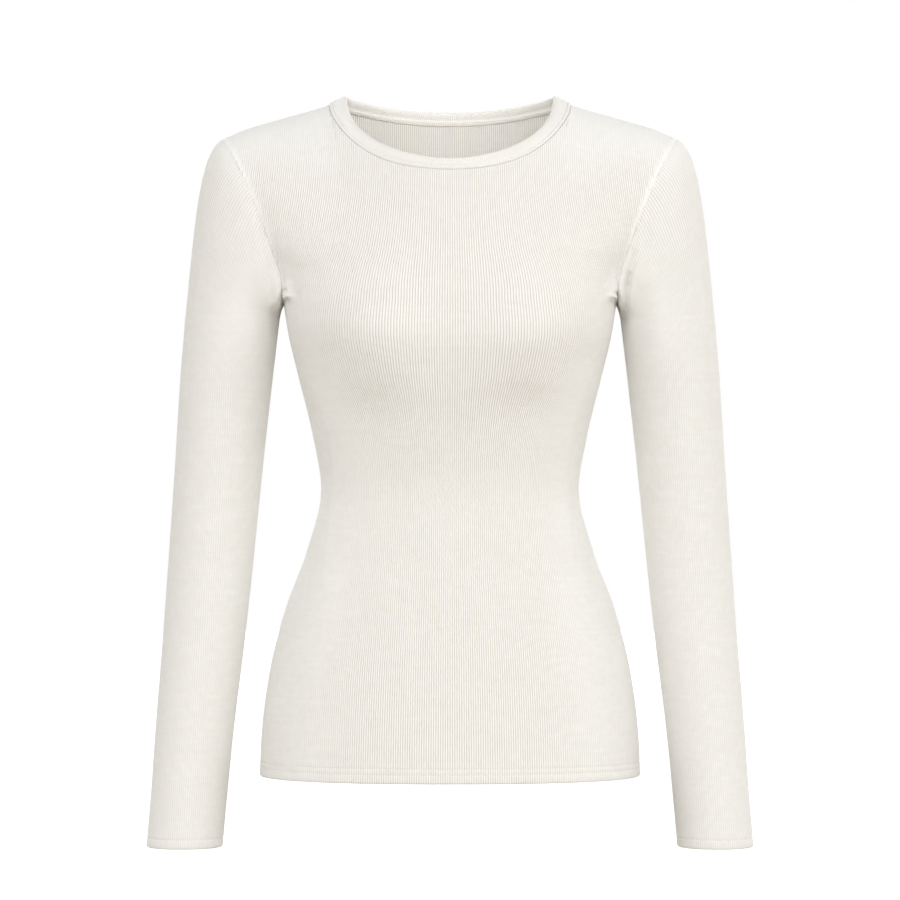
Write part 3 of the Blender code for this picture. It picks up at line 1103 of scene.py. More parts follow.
# %% [markdown]
# ## The knit on a sleeve
#
# A sleeve gets its ribs, dips and creases as a panel does. Below the arm its ribs are
# flatter, because the sewing pulls the cloth there.

# %% Both sleeves


def make_sleeve(name, mirrored):
    mirror = MIRRORED if mirrored else SAME
    cuff = ARM[0]["z"]
    number = rib_columns(MOST_SLEEVE_RIBS)
    levels, climb = sleeve_rows(True)
    points, out, lengths = whole_sleeve(levels, climb)
    count = fullest_rib(levels, climb)
    shares = np.clip(number / count, -1, 1)
    from_seam = along_rows(below_seam(points)[..., None], shares)[..., 0]
    climbed = courses(points)
    moved = along_rows(points, shares) * mirror
    facing = unit(along_rows(out, shares)) * mirror
    up = moved[..., 2] - cuff
    to_underarm = (1 - np.abs(shares)) * lengths[:, None]
    sewn = sewn_at(up, CUFF_STITCHES)
    flat = FLAT_SHOULDER * ease(facing[..., 2], 0.2, 0.7)
    pulled = bell(moved[..., 2] - UNDERARM_Z, 45) * ease(np.abs(shares), 0.3, 0.6)
    flat = np.maximum(flat, FLAT_UNDERARM * pulled)
    relief = ease(from_seam, 0.2, 1.4) * ease(to_underarm, 0.1, 1.2)
    relief = relief * ease(up, 0, 1.2) * (1 - flat)
    full = ease(climbed, CAP_FULL_FROM, CAP_FULL_TO)[:, None]
    deep = SIDE_DEEP + CAP_DEEPER * (RIB_DEEP - SIDE_DEEP) * full
    height = rib_height(number) * deep * relief * (1 - SEWN_FLAT * sewn)
    height = height - SEWN_DIP * sewn - UNDERARM_DIP * bell(to_underarm, UNDERARM_DIP_WIDE)
    height = height - edge_inset(np.clip(up, 0, None))
    pressed = pressed_in(name, moved, facing) * ease(from_seam, 0, 2.5)
    outer = moved + facing * height[..., None]
    outer[..., 1] -= np.sign(facing[..., 1]) * pressed
    numbers = np.clip(number, -count, count)
    counts = np.stack([numbers, climbed[:, None] + 0 * shares], axis=-1)

    levels, climb = sleeve_rows(False)
    points, out, _ = whole_sleeve(levels, climb)
    shares = np.repeat(np.linspace(-1, 1, SLEEVE_INSIDE_COLUMNS)[None], len(points), axis=0)
    from_seam = along_rows(below_seam(points)[..., None], shares)[..., 0]
    moved = along_rows(points, shares) * mirror
    facing = unit(along_rows(out, shares)) * mirror
    up = moved[..., 2] - cuff
    thick = np.where(up < CUFF_DEEP, TURNED - edge_inset(np.clip(up, 0, None)), CLOTH)
    pressed = pressed_in(name, moved, facing) * ease(from_seam, 0, 2.5)
    inner = moved - facing * (thick + SLEEVE_CREASED_THICKER * np.abs(pressed))[..., None]
    inner[..., 1] -= np.sign(facing[..., 1]) * pressed
    count = fullest_rib(levels, climb)
    inner_counts = np.stack([shares * count, courses(points)[:, None] + 0 * shares], axis=-1)
    return cloth_wall(name, outer, inner, counts, inner_counts, flat, ring=True)


sleeve_left = make_sleeve("sleeve_left", False)
sleeve_right = make_sleeve("sleeve_right", True)

# %% [markdown]
# ## The neckband
#
# The neck is finished with a strip of the same rib, folded double lengthwise and sewn on
# by both raw edges. The ribs run across the strip, so round the neck they fan out. Seen
# from the front it shows a flat face, a round fold on top, and just above the seam a
# narrow ridge where the topstitching holds the seam allowance down. The table gives its
# section: how far up from the seam each line lies, and how far it stands off the middle.

# %% Section of the band
BAND_OUTSIDE = table(
    "share mm off",
    (0, 0, 0.15),
    (0, 0.25, 0.5),
    (0, 0.7, 0.95),
    (0, 1.6, 1.05),
    (0, 2.3, 0.9),
    (0, 2.7, 0.5),
    (0, 3.0, 0.3),
    (0, 3.4, 0.55),
    (0, 4.1, 0.85),
    (0.48, 0, 0.95),
    (0.62, 0, 0.98),
    (0.76, 0, 0.93),
    (0.87, 0, 0.75),
    (0.94, 0, 0.45),
    (0.985, 0, 0.0),
    (1.0, 0, -0.45),
)
BAND_INSIDE = table(
    "share mm off",
    (0, 0, -1.7),
    (0, 0.3, -2.2),
    (0, 1.5, -2.4),
    (0, 3.6, -2.4),
    (0, 4.6, -2.25),
    (0, 5.1, -1.75),
    (0.55, 0, -1.85),
    (0.7, 0, -1.85),
    (0.83, 0, -1.7),
    (0.92, 0, -1.4),
    (0.975, 0, -0.95),
    (1.0, 0, -0.45),
)
print("lines round the band:", len(BAND_OUTSIDE), "outside and", len(BAND_INSIDE), "inside")

# %% [markdown]
# ## The neck seam and the fold
#
# The band lies between two lines. One is the neck seam, read from the panels, so that the
# band always fits them. The other is the fold, a smaller and smoother loop above it.

# %% The neck seam and the fold
FOLD_HALF, FOLD_FRONT, FOLD_BACK = 88.6, 85.0, 65.0
FOLD_DROP, FOLD_CURVE, BACK_CURVE = 0.74, 0.0008, 0.0021  # how its height falls away
FOLD_DIP, FOLD_DIP_WIDE = 1.5, 44  # it hangs a little in the middle of the front


def neck_line(turn):
    """The neck seam and the way out of the cloth: turn 0 is the middle of the front."""
    share = np.abs(np.sin(turn)) * NECK_HALF / HALF_SHOULDER
    points, out = np.zeros((len(turn), 3)), np.zeros((len(turn), 3))
    for side in (FRONT, BACK):
        here = np.cos(turn) * -side >= 0
        fine = np.linspace(0, np.pi / 2, 500)
        at = np.sin(fine) * NECK_HALF / HALF_SHOULDER
        rows = half_panel(np.array((TIP_Z - 1, TIP_Z)), side, at)[0]
        facing = square_to(rows, -side)
        place = np.arcsin(np.clip(share[here] * HALF_SHOULDER / NECK_HALF, 0, 1))
        for axis in range(3):
            points[here, axis] = np.interp(place, fine, rows[-1, :, axis])
            out[here, axis] = np.interp(place, fine, facing[-1, :, axis])
    way = np.where(np.sin(turn) < 0, -1.0, 1.0)
    points[:, 0] *= way
    out[:, 0] *= way
    return points, out


def smoothed(ring, reach):
    """A closed ring of directions, each averaged with its neighbours."""
    total = sum(np.roll(ring, k, axis=0) for k in range(-reach, reach + 1))
    return unit(total)


def fold_line(turn):
    """Points of the fold of the band."""
    y = -np.cos(turn) * np.where(np.cos(turn) > 0, FOLD_FRONT, FOLD_BACK)
    ahead, behind = np.maximum(-y, 0), np.maximum(y, 0)
    z = -FOLD_DROP * ahead + FOLD_CURVE * ahead**2 - BACK_CURVE * behind**2
    x = FOLD_HALF * np.sin(turn)
    z = z - FOLD_DIP * bell(x, FOLD_DIP_WIDE) * ease(ahead, 20, 60)
    return np.stack([x, y, z], axis=-1)


def neck_turns(shares):
    """Turns of points that are even along the neck seam."""
    turn = np.linspace(0, 2 * np.pi, 2401)
    line = neck_line(turn)[0]
    run = run_along(line)
    return np.interp(shares, run / run[-1], turn), run[-1]


print("length of the neck seam: %.0f mm" % neck_turns([0])[1])

# %% [markdown]
# ## Faces of the band
#
# At the seam the band lies in line with the panel, and higher up it turns to its own
# direction. It starts a hair above the seam, a little more at the shoulders, so the two
# pieces of cloth never cross.

# %% Rows of the band
SMOOTH_REACH = 12  # neighbours on each side that a direction is averaged with
BAND_GAP, SIDE_GAP = 0.12, 0.5  # how far above the seam it starts


def band_rows(section, turn):
    """Rows of points of one face of the band, the way out of each, and its height."""
    seam, seam_out = neck_line(turn)
    seam_out = np.concatenate([smoothed(seam_out[:-1], SMOOTH_REACH), [[0, 0, 0]]])
    seam_out[-1] = seam_out[0]
    fold = fold_line(turn)
    up = unit(fold - seam)
    sideways = (np.abs(seam[:, :1]) / NECK_HALF) ** 4
    start = seam + up * (BAND_GAP + SIDE_GAP * sideways)
    joint = fold[1:2] - fold[-2:-1]
    around = np.concatenate([joint, fold[2:] - fold[:-2], joint])
    own = unit(np.cross(around, up))
    seam_out = unit(seam_out * (1 - sideways) + own * sideways)
    wide = np.linalg.norm(fold - start, axis=1, keepdims=True)
    points, facing, climb = [], [], []
    for row in section:
        share = row["share"] + row["mm"] / wide
        out = unit(seam_out * (1 - np.minimum(1, share * 2)) + own * np.minimum(1, share * 2))
        points.append(start + (fold - start) * share + out * row["off"])
        facing.append(out)
        climb.append((share * wide)[:, 0])
    return np.array(points), np.array(facing), np.array(climb)


print("the band starts", BAND_GAP, "mm above the seam")

# %% [markdown]
# ## The band itself
#
# The ribs of the band run from the seam over the fold and down inside. They are lower than
# those of the body, because the strip is stretched as it is sewn on. They sink in at the
# topstitching and near the fold, where the cloth is pressed.

# %% The band itself
BAND_DEEP, BAND_INSIDE_DEEP = 0.4, 0.32  # heights of its ribs outside and inside
INSIDE_COURSES = 30  # rows of stitches from the seam outside to the seam inside


def make_neckband():
    shares = (np.arange(BAND_RIBS)[:, None] + RIB_STEPS).ravel() / BAND_RIBS
    shares = np.append(shares, 1.0)
    turn, _ = neck_turns(shares)
    number = shares * BAND_RIBS
    outer, out, climb = band_rows(BAND_OUTSIDE, turn)
    soft = ease(climb, 0, 0.5) * (1 - 0.6 * bell(climb - 3.0, 0.5))
    soft = soft * (1 - 0.7 * ease(climb / climb[-1], 0.72, 0.97))
    outer = outer + out * (rib_height(number) * BAND_DEEP * soft)[..., None]
    inner, out, down = band_rows(BAND_INSIDE, turn)
    soft = ease(down, 5, 6.5) * (1 - 0.6 * ease(down / down[-1], 0.8, 1))
    inner = inner - out * (rib_height(number) * BAND_INSIDE_DEEP * soft)[..., None]
    inner[-1] = outer[-1]
    for face in (outer, inner):
        face[:, -1] = face[:, 0]
    counts = np.stack([number + 0 * climb, climb / COURSE], axis=-1)
    inner_counts = np.stack([number + 0 * down, INSIDE_COURSES - down / COURSE], axis=-1)
    return cloth_wall("neckband", outer, inner, counts, inner_counts, 0 * climb, ring=True)


neckband = make_neckband()

# %% [markdown]
# ## Sewing
#
# Twin-needle stitching holds the hem: two rows of small straight stitches outside. The
# cuffs have one row, the neck has one just above its seam, and along each armhole a row of
# needle points shows at the edge of the tape. Each stitch is a tiny padded shape, so one
# ball of twenty faces is made, drawn out along the row, and pressed into the dip there.

# %% Stitches in rows
HALF_SPAN = 0.2  # mm ahead and behind, between which a line's direction is read
IN_THE_DIP = 0.12  # how far a stitch sits below the plain form


def resampled(points, ways, pitch):
    """Points that are even along a line, with the way out and the way along at each."""
    run = run_along(points)
    count = max(2, int(run[-1] / pitch))
    at = (np.arange(count) + 0.5) * run[-1] / count

    def read(values, at):
        return np.stack([np.interp(at, run, values[:, k]) for k in range(3)], axis=-1)

    along = unit(read(points, at + HALF_SPAN) - read(points, at - HALF_SPAN))
    return read(points, at), unit(read(ways, at)), along


def sew(bm, points, ways, pitch, long, thick, slant=0.0):
    """Adds a row of stitches: long and thick are a stitch's half length and radius in mm."""
    place, way, along = resampled(points, ways, pitch)
    for k, (p, out, go) in enumerate(zip(place, way, along)):
        aside = np.cross(out, go)
        tilt = slant * (1 if k % 2 else -1)
        run = unit(go + aside * tilt)
        aside = unit(np.cross(out, run))
        turned = Matrix(np.stack([run * long, aside * thick, out * thick], axis=1) / 1000)
        matrix = Matrix.Translation(Vector(p / 1000)) @ turned.to_4x4()
        bmesh.ops.create_icosphere(bm, subdivisions=1, radius=1, matrix=matrix)


def finished(bm, name):
    """Turns a bmesh into a smooth object."""
    for face in bm.faces:
        face.smooth = True
    piece = object_from(bm, name, name)
    print(f"{name}: {len(piece.data.polygons)} triangles")
    return piece


print("a stitch sits", IN_THE_DIP, "mm below the plain form")

# %% [markdown]
# ## Rows of stitches
#
# Each row follows a line that is read from the same form as its piece, so it stays on the
# cloth when a size is changed. The threads of the looper lie inside, slanted one way and
# the other in turn, which gives the knotty look of the wrong side.

# %% The rows of each piece


def panel_line(level, side, stand_off):
    """A level line across a panel, standing off the plain form."""
    points, out, _ = whole_panel(level + np.array((-1.0, 0, 1.0)), side)
    return points[1] + out[1] * stand_off, out[1]


def hem_sewing():
    bm = bmesh.new()
    for side in (FRONT, BACK):
        for height in HEM_STITCHES:
            line, way = panel_line(HEM_Z + height, side, -IN_THE_DIP)
            sew(bm, line, way, pitch=2.7, long=1.05, thick=0.2)
        line, way = panel_line(HEM_Z + HEM_DEEP - 2.6, side, -TURNED - 0.1)
        sew(bm, line, way, pitch=1.35, long=1.9, thick=0.16, slant=2.4)
    return finished(bm, "hem_stitches")


def cuff_sewing(name, mirrored):
    bm = bmesh.new()
    mirror = MIRRORED if mirrored else SAME
    for height in CUFF_STITCHES:
        z = ARM[0]["z"] + height
        points, out, _ = whole_sleeve(z + np.array((-1.0, 0, 1.0)), (1.0,))
        line, way = points[1] * mirror, out[1] * mirror
        sew(bm, line - way * IN_THE_DIP, way, pitch=2.5, long=1.0, thick=0.2)
    return finished(bm, name)


def neck_sewing():
    bm = bmesh.new()
    turn, _ = neck_turns(np.linspace(0, 1, 1201))
    rows, out, _ = band_rows([dict(share=0, mm=3.0, off=0.34)], turn)
    sew(bm, rows[0], out[0], pitch=2.4, long=0.95, thick=0.19)
    for mm in (0.9, 2.4, 3.9):  # the loopers cover the raw edge with a knotty strip
        rows, out, _ = band_rows([dict(share=0, mm=mm, off=-2.38)], turn)
        sew(bm, rows[0], out[0], pitch=1.6, long=0.8, thick=0.24, slant=0.6)
    return finished(bm, "neck_stitches")


def armhole_sewing():
    bm = bmesh.new()
    for side in (FRONT, BACK):
        levels = np.linspace(UNDERARM_Z + 1, TIP_Z - 1, 160)
        half, lengths = half_panel(levels, side)
        out = square_to(half, -side)
        for mirror in (SAME, MIRRORED):
            inset = 0.75 / lengths
            at = (HALF_STEPS * (1 - inset)).astype(int)
            rows = np.arange(len(levels))
            line = half[rows, at] + out[rows, at] * (TAPE_HIGH - 0.02)
            way = out[rows, at] * mirror
            sew(bm, line * mirror, way, pitch=2.3, long=0.55, thick=0.17)
    return finished(bm, "armhole_stitches")


hem_stitches = hem_sewing()
cuff_stitches_left = cuff_sewing("cuff_stitches_left", False)
cuff_stitches_right = cuff_sewing("cuff_stitches_right", True)
neck_stitches = neck_sewing()
armhole_stitches = armhole_sewing()

# %% [markdown]
# ## The look of the cloth
#
# Underwear rib is knitted from a soft ivory yarn that takes dye unevenly, so short pale
# and grey dashes run along the rows of stitches. The grooves between the ribs get a painted
# shade and the crests a painted highlight, and the yarn is matt. Three node groups make
# this from the knit map, in which one unit across is one rib and one unit up is one row of
# stitches.

# %% Shader helpers


def node_group(name, inputs, outputs):
    """A node group with named inputs and outputs, and its two end nodes."""
    group = bpy.data.node_groups.new(name, "ShaderNodeTree")
    for label, kind, value in inputs:
        socket = group.interface.new_socket(label, in_out="INPUT", socket_type=kind)
        if value is not None:
            socket.default_value = value
    for label, kind in outputs:
        group.interface.new_socket(label, in_out="OUTPUT", socket_type=kind)
    start = group.nodes.new("NodeGroupInput")
    end = group.nodes.new("NodeGroupOutput")
    return group, start, end


def new_material(name):
    """A material, its node tree and its main shader."""
    material = bpy.data.materials.new(name)
    material.use_nodes = True
    tree = material.node_tree
    return material, tree, tree.nodes["Principled BSDF"]


def maths(tree, operation, *values):
    """A Math node; each value is a number or a socket."""
    node = tree.nodes.new("ShaderNodeMath")
    node.operation = operation
    for socket, value in zip(node.inputs, values):
        if isinstance(value, (int, float)):
            socket.default_value = value
        else:
            tree.links.new(value, socket)
    return node.outputs[0]


def noise_at(tree, vector, scale, detail, stretch=(1, 1, 1)):
    """Noise whose pattern is squeezed by stretch."""
    place = tree.nodes.new("ShaderNodeMapping")
    place.inputs["Scale"].default_value = stretch
    tree.links.new(vector, place.inputs["Vector"])
    noise = tree.nodes.new("ShaderNodeTexNoise")
    noise.inputs["Scale"].default_value = scale
    noise.inputs["Detail"].default_value = detail
    noise.inputs["Roughness"].default_value = 0.55
    tree.links.new(place.outputs[0], noise.inputs["Vector"])
    return noise.outputs[0]


def mixed(tree, share, first, second):
    """A mix of two colours."""
    node = tree.nodes.new("ShaderNodeMix")
    node.data_type = "RGBA"
    for label, value in (("Factor", share), ("A", first), ("B", second)):
        socket = next(s for s in node.inputs if s.name == label and s.enabled)
        if isinstance(value, (tuple, float, int)):
            socket.default_value = value
        else:
            tree.links.new(value, socket)
    return next(s for s in node.outputs if s.enabled)


def bump(tree, height, strength, distance, under=None):
    """A Bump node, on top of another one if that is given."""
    node = tree.nodes.new("ShaderNodeBump")
    node.inputs["Strength"].default_value = strength
    node.inputs["Distance"].default_value = distance
    tree.links.new(height, node.inputs["Height"])
    if under is not None:
        tree.links.new(under, node.inputs["Normal"])
    return node.outputs[0]


print("shader helpers are ready")

# %% [markdown]
# ## Uneven yarn
#
# Each patch, dash and fleck is noise on the knit map, stretched along the rows of stitches
# or across them. Noise that is tied to the knit follows the cloth round the body, which
# noise in space wouldn't do.

# %% The yarn


def heather_group():
    """Pale and grey patches in the yarn, and dashes along the rows of stitches."""
    group, start, end = node_group(
        "heather",
        [("Map", "NodeSocketVector", None), ("Amount", "NodeSocketFloat", 0.5)],
        [("Grey", "NodeSocketFloat")],
    )
    knit = start.outputs["Map"]
    dashes = noise_at(group, knit, 1.0, 2.0, (0.06, 0.45, 1))
    patches = noise_at(group, knit, 1.0, 3.0, (0.26, 0.2, 1))
    flecks = noise_at(group, knit, 1.0, 2.0, (0.8, 0.9, 1))
    clouds = noise_at(group, knit, 1.0, 2.0, (0.045, 0.035, 1))
    total = maths(group, "MULTIPLY_ADD", patches, 0.8, maths(group, "MULTIPLY", dashes, 0.55))
    total = maths(group, "MULTIPLY_ADD", flecks, 0.25, total)
    total = maths(group, "MULTIPLY_ADD", clouds, 0.35, total)
    level = maths(group, "SUBTRACT", total, 0.975)
    grey = maths(group, "MULTIPLY", level, start.outputs["Amount"])
    group.links.new(maths(group, "ADD", grey, 0.5), end.inputs["Grey"])
    return group


print("the yarn has four sizes of noise")

# %% [markdown]
# ## Grooves and loops
#
# The groove between two ribs is dark because little light gets in. It is drawn from the
# fraction of the knit map, which starts again at every rib. The loops are the small V of
# each stitch: a wave up the rib, shifted with the distance from its middle.

# %% Groups for the ribs and the loops


def rib_group():
    """Groove and Crest are 1 in a groove and on a crest, and less beyond rib Fade To."""
    group, start, end = node_group(
        "rib_groove",
        [
            ("Map", "NodeSocketVector", None),
            ("Fade From", "NodeSocketFloat", FADE_FROM),
            ("Fade To", "NodeSocketFloat", FADE_TO),
            ("Left", "NodeSocketFloat", 0.3),
            ("Full From", "NodeSocketFloat", FULL_FROM),
            ("Full To", "NodeSocketFloat", FULL_TO),
        ],
        [
            ("Groove", "NodeSocketFloat"),
            ("Crest", "NodeSocketFloat"),
            ("Round", "NodeSocketFloat"),
        ],
    )
    split = group.nodes.new("ShaderNodeSeparateXYZ")
    group.links.new(start.outputs["Map"], split.inputs[0])
    across = maths(group, "FRACT", split.outputs[0])
    away = maths(group, "ABSOLUTE", maths(group, "SUBTRACT", across, 0.5))
    groove = maths(group, "POWER", maths(group, "MULTIPLY", away, 2.0), 1.9)
    fade = group.nodes.new("ShaderNodeMapRange")
    group.links.new(maths(group, "ABSOLUTE", split.outputs[0]), fade.inputs["Value"])
    group.links.new(start.outputs["Fade From"], fade.inputs["From Min"])
    group.links.new(start.outputs["Fade To"], fade.inputs["From Max"])
    fade.inputs["To Min"].default_value = 1.0
    group.links.new(start.outputs["Left"], fade.inputs["To Max"])
    full = group.nodes.new("ShaderNodeMapRange")
    group.links.new(split.outputs[1], full.inputs["Value"])
    group.links.new(start.outputs["Full From"], full.inputs["From Min"])
    group.links.new(start.outputs["Full To"], full.inputs["From Max"])
    sunk = maths(group, "SUBTRACT", 1.0, fade.outputs[0])
    sunk = maths(group, "MULTIPLY", sunk, maths(group, "SUBTRACT", 1.0, full.outputs[0]))
    shown = maths(group, "SUBTRACT", 1.0, sunk)
    crest = maths(group, "SUBTRACT", 1.0, groove)
    # The Groove and Crest masks place the painted shade in the grooves and the painted
    # highlight on the crests.
    group.links.new(maths(group, "MULTIPLY", groove, shown), end.inputs["Groove"])
    group.links.new(maths(group, "MULTIPLY", crest, shown), end.inputs["Crest"])
    group.links.new(crest, end.inputs["Round"])
    return group


def loop_group():
    """The small V of each knit stitch on the crest of a rib, with a little fuzz."""
    group, start, end = node_group(
        "knit_loops", [("Map", "NodeSocketVector", None)], [("Height", "NodeSocketFloat")]
    )
    split = group.nodes.new("ShaderNodeSeparateXYZ")
    group.links.new(start.outputs["Map"], split.inputs[0])
    across = maths(group, "FRACT", split.outputs[0])
    arm = maths(group, "ABSOLUTE", maths(group, "SUBTRACT", across, 0.5))
    climb = maths(group, "MULTIPLY_ADD", arm, -1.6, split.outputs[1])
    wave = maths(group, "SINE", maths(group, "MULTIPLY", climb, 2 * math.pi))
    fuzz = noise_at(group, start.outputs["Map"], 4.0, 3.0)
    height = maths(group, "MULTIPLY_ADD", wave, 0.22, fuzz)
    group.links.new(height, end.inputs["Height"])
    return group


HEATHER, GROOVE, LOOPS = heather_group(), rib_group(), loop_group()
print("node groups:", HEATHER.name, GROOVE.name, LOOPS.name)

# %% [markdown]
# ## Ivory rib and thread
#
# One function makes the cloth of the body, the sleeves and the band, which differ in how
# strong their yarn and their painted groove shade look, and the sleeves also get a painted
# shade that greys them a little all over. Fine stitches are a bump, since they are too
# small to model, and the ribs inside are a second bump under it. The thread is a little
# smoother than the cloth, with a twist.

# %% Ivory rib
CREST_PAINTED_HIGHLIGHT = 0.5  # painted highlight: how much lighter the crest of a rib, and flat cloth, is painted
GROOVE_PAINTED_SHADE = 0.66  # painted shade: how much darker its groove is painted
IVORY = (0.88, 0.873, 0.858, 1)
IVORY_GREY = (0.78, 0.77, 0.748, 1)
# Painted highlight: the pale colour painted on the crests of the ribs and on flat cloth.
IVORY_PAINTED_HIGHLIGHT = (0.97, 0.968, 0.957, 1)
# Painted shade: the warm dark colour painted into the grooves between the ribs.
IVORY_PAINTED_SHADE = (0.57, 0.53, 0.455, 1)


def placed(tree, group, knit):
    node = tree.nodes.new("ShaderNodeGroup")
    node.node_tree = group
    tree.links.new(knit, node.inputs["Map"])
    return node


def ivory_rib(name, amount, painted_shading_left, painted_shade=0.0, always_faded=False, rib_bump=1.0):
    """Rib cloth: how strong its heather is, how much of the painted groove shade and crest
    highlight is left where the ribs sink in, and how much painted shade greys it all over.
    """
    material, tree, shader = new_material(name)
    knit = tree.nodes.new("ShaderNodeUVMap")
    knit.uv_map = "knit"
    knit = knit.outputs[0]
    grey = placed(tree, HEATHER, knit)
    grey.inputs["Amount"].default_value = amount
    groove = placed(tree, GROOVE, knit)
    groove.inputs["Left"].default_value = painted_shading_left
    if always_faded:
        groove.inputs["Fade From"].default_value = -2.0
        groove.inputs["Fade To"].default_value = -1.0
        groove.inputs["Full From"].default_value = CAP_FULL_FROM
        groove.inputs["Full To"].default_value = CAP_FULL_TO
    loops = placed(tree, LOOPS, knit)
    inside = tree.nodes.new("ShaderNodeAttribute")
    inside.attribute_name = "inside"
    plain = tree.nodes.new("ShaderNodeAttribute")
    plain.attribute_name = "plain"
    plain = plain.outputs["Fac"]
    # The heather is the yarn's own uneven tone; the value added to it is a painted shade that
    # greys the whole cloth.
    colour = mixed(tree, maths(tree, "ADD", grey.outputs["Grey"], painted_shade), IVORY, IVORY_GREY)
    # Painted highlight: crests, and flat cloth, are painted lighter.
    light = maths(tree, "MAXIMUM", groove.outputs["Crest"], plain)
    colour = mixed(tree, maths(tree, "MULTIPLY", light, CREST_PAINTED_HIGHLIGHT), colour, IVORY_PAINTED_HIGHLIGHT)
    # Painted shade: the grooves are painted darker, except where the cloth lies flat.
    ribbed = maths(tree, "SUBTRACT", 1.0, plain)
    deep = maths(tree, "MULTIPLY", groove.outputs["Groove"], ribbed)
    colour = mixed(tree, maths(tree, "MULTIPLY", deep, GROOVE_PAINTED_SHADE), colour, IVORY_PAINTED_SHADE)
    tree.links.new(colour, shader.inputs["Base Color"])
    fine = bump(tree, loops.outputs["Height"], 0.5, 0.00012)
    height = maths(tree, "MULTIPLY", groove.outputs["Round"], inside.outputs["Fac"])
    ribs = bump(tree, height, rib_bump, 0.0004, under=fine)
    tree.links.new(ribs, shader.inputs["Normal"])
    rough = maths(tree, "MULTIPLY_ADD", grey.outputs["Grey"], 0.1, 0.84)
    tree.links.new(rough, shader.inputs["Roughness"])
    shader.inputs["Specular IOR Level"].default_value = 0.25
    shader.inputs["Sheen Weight"].default_value = 0.12
    shader.inputs["Sheen Roughness"].default_value = 0.5
    return material


rib_cloth = ivory_rib("ivory_rib", 1.3, 0.3)
# The sleeves are the same cloth with a painted shade that makes them a little greyer.
sleeve_cloth = ivory_rib("ivory_rib_sleeve", 1.3, 0.36, painted_shade=0.4, always_faded=True)
band_cloth = ivory_rib("ivory_rib_band", 0.7, 0.35, always_faded=True, rib_bump=0.3)
print("cloth:", rib_cloth.name, sleeve_cloth.name, band_cloth.name)

# %% [markdown]
# ## Thread, and what each piece wears
#
# Sewing thread is spun tighter than the yarn, so it is brighter and has a finer grain. All
# the stitches share it, and each piece of cloth gets the rib that was made for it.

# %% Sewing thread and materials


def sewing_thread():
    """Spun thread: a little brighter and smoother than the cloth, with a fine twist."""
    material, tree, shader = new_material("ivory_thread")
    place = tree.nodes.new("ShaderNodeTexCoord").outputs["Object"]
    uneven = noise_at(tree, place, 900.0, 2.0)
    colour = mixed(tree, uneven, (0.86, 0.84, 0.78, 1), (0.74, 0.715, 0.65, 1))
    tree.links.new(colour, shader.inputs["Base Color"])
    twist = bump(tree, noise_at(tree, place, 4000.0, 1.0), 0.4, 0.00005)
    tree.links.new(twist, shader.inputs["Normal"])
    shader.inputs["Roughness"].default_value = 0.6
    shader.inputs["Sheen Weight"].default_value = 0.1
    return material


thread = sewing_thread()
for piece in (front, back):
    piece.data.materials.append(rib_cloth)
for piece in (sleeve_left, sleeve_right):
    piece.data.materials.append(sleeve_cloth)
neckband.data.materials.append(band_cloth)
cuff_stitches = (cuff_stitches_left, cuff_stitches_right)
sewing = (hem_stitches, *cuff_stitches, neck_stitches, armhole_stitches)
for piece in sewing:
    piece.data.materials.append(thread)
print("thread:", thread.name, "on", len(sewing), "pieces")

# %% [markdown]
# ## Hand the pieces to the frame
#
# Every piece rides on the top itself, because nothing on it moves by itself. Each cloth
# piece takes the place of its plain wall, and half the surface of its wall is printed.

# %% Ride, replace and measure
for node, piece in (
    ("front", front),
    ("back", back),
    ("sleeve_left", sleeve_left),
    ("sleeve_right", sleeve_right),
    ("neckband", neckband),
):
    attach(piece, "root")
    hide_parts(node)
for piece in sewing:
    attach(piece, "root")


def measured(piece):
    """Half the surface of a wall, in square metres."""
    return sum(face.area for face in piece.data.polygons) / 2


for piece in (front, back, sleeve_left, sleeve_right, neckband):
    print(piece.name, "%.4f m2" % measured(piece))

# %% [markdown]
# ## The camera
#
# The camera stands level with the middle of the top, far off, so that near and far parts
# look nearly the same size, as in a catalogue. A close camera with a wide lens would make
# the front look swollen. The lens is worked out from the width that has to be seen.

# %% Camera
CAMERA_FAR = 3.6  # metres in front of the top
SEEN_WIDE = 0.774  # metres that the picture is wide at the top
SENSOR = 36  # mm
camera = placed_object("camera", bpy.data.cameras.new("camera"))
camera.location = (0, -CAMERA_FAR, -0.304)
camera.rotation_euler = (math.pi / 2, 0, 0)
camera.data.sensor_width = SENSOR
camera.data.lens = SENSOR * CAMERA_FAR / SEEN_WIDE
bpy.context.scene.camera = camera
print("camera sees %.3f m across" % (SENSOR / camera.data.lens * CAMERA_FAR))

# %% [markdown]
# ## The floor
#
# The top hangs in the air over a plain white floor, well below the cuffs. The floor glows
# a little, so it stays white where the light is weak, but it doesn't light the cloth.

# %% Floor
FLOOR_WIDE, FLOOR_Z = 8.0, -0.8  # radius and height in metres


def pale_floor():
    bm = bmesh.new()
    bmesh.ops.create_circle(bm, cap_ends=True, segments=64, radius=FLOOR_WIDE)
    bmesh.ops.translate(bm, verts=bm.verts, vec=(0, 0, FLOOR_Z))
    floor = finished(bm, "floor")
    material, tree, shader = new_material("studio_white")
    place = tree.nodes.new("ShaderNodeTexCoord").outputs["Object"]
    soft = noise_at(tree, place, 1.5, 1.0)
    white = mixed(tree, soft, (0.93, 0.93, 0.93, 1), (0.91, 0.91, 0.91, 1))
    tree.links.new(white, shader.inputs["Base Color"])
    shader.inputs["Roughness"].default_value = 0.9
    shader.inputs["Emission Color"].default_value = (1, 1, 1, 1)
    shader.inputs["Emission Strength"].default_value = 0.45
    floor.data.materials.append(material)
    floor.visible_diffuse = False  # its glow would light the top from below
    return floor


pale_floor()

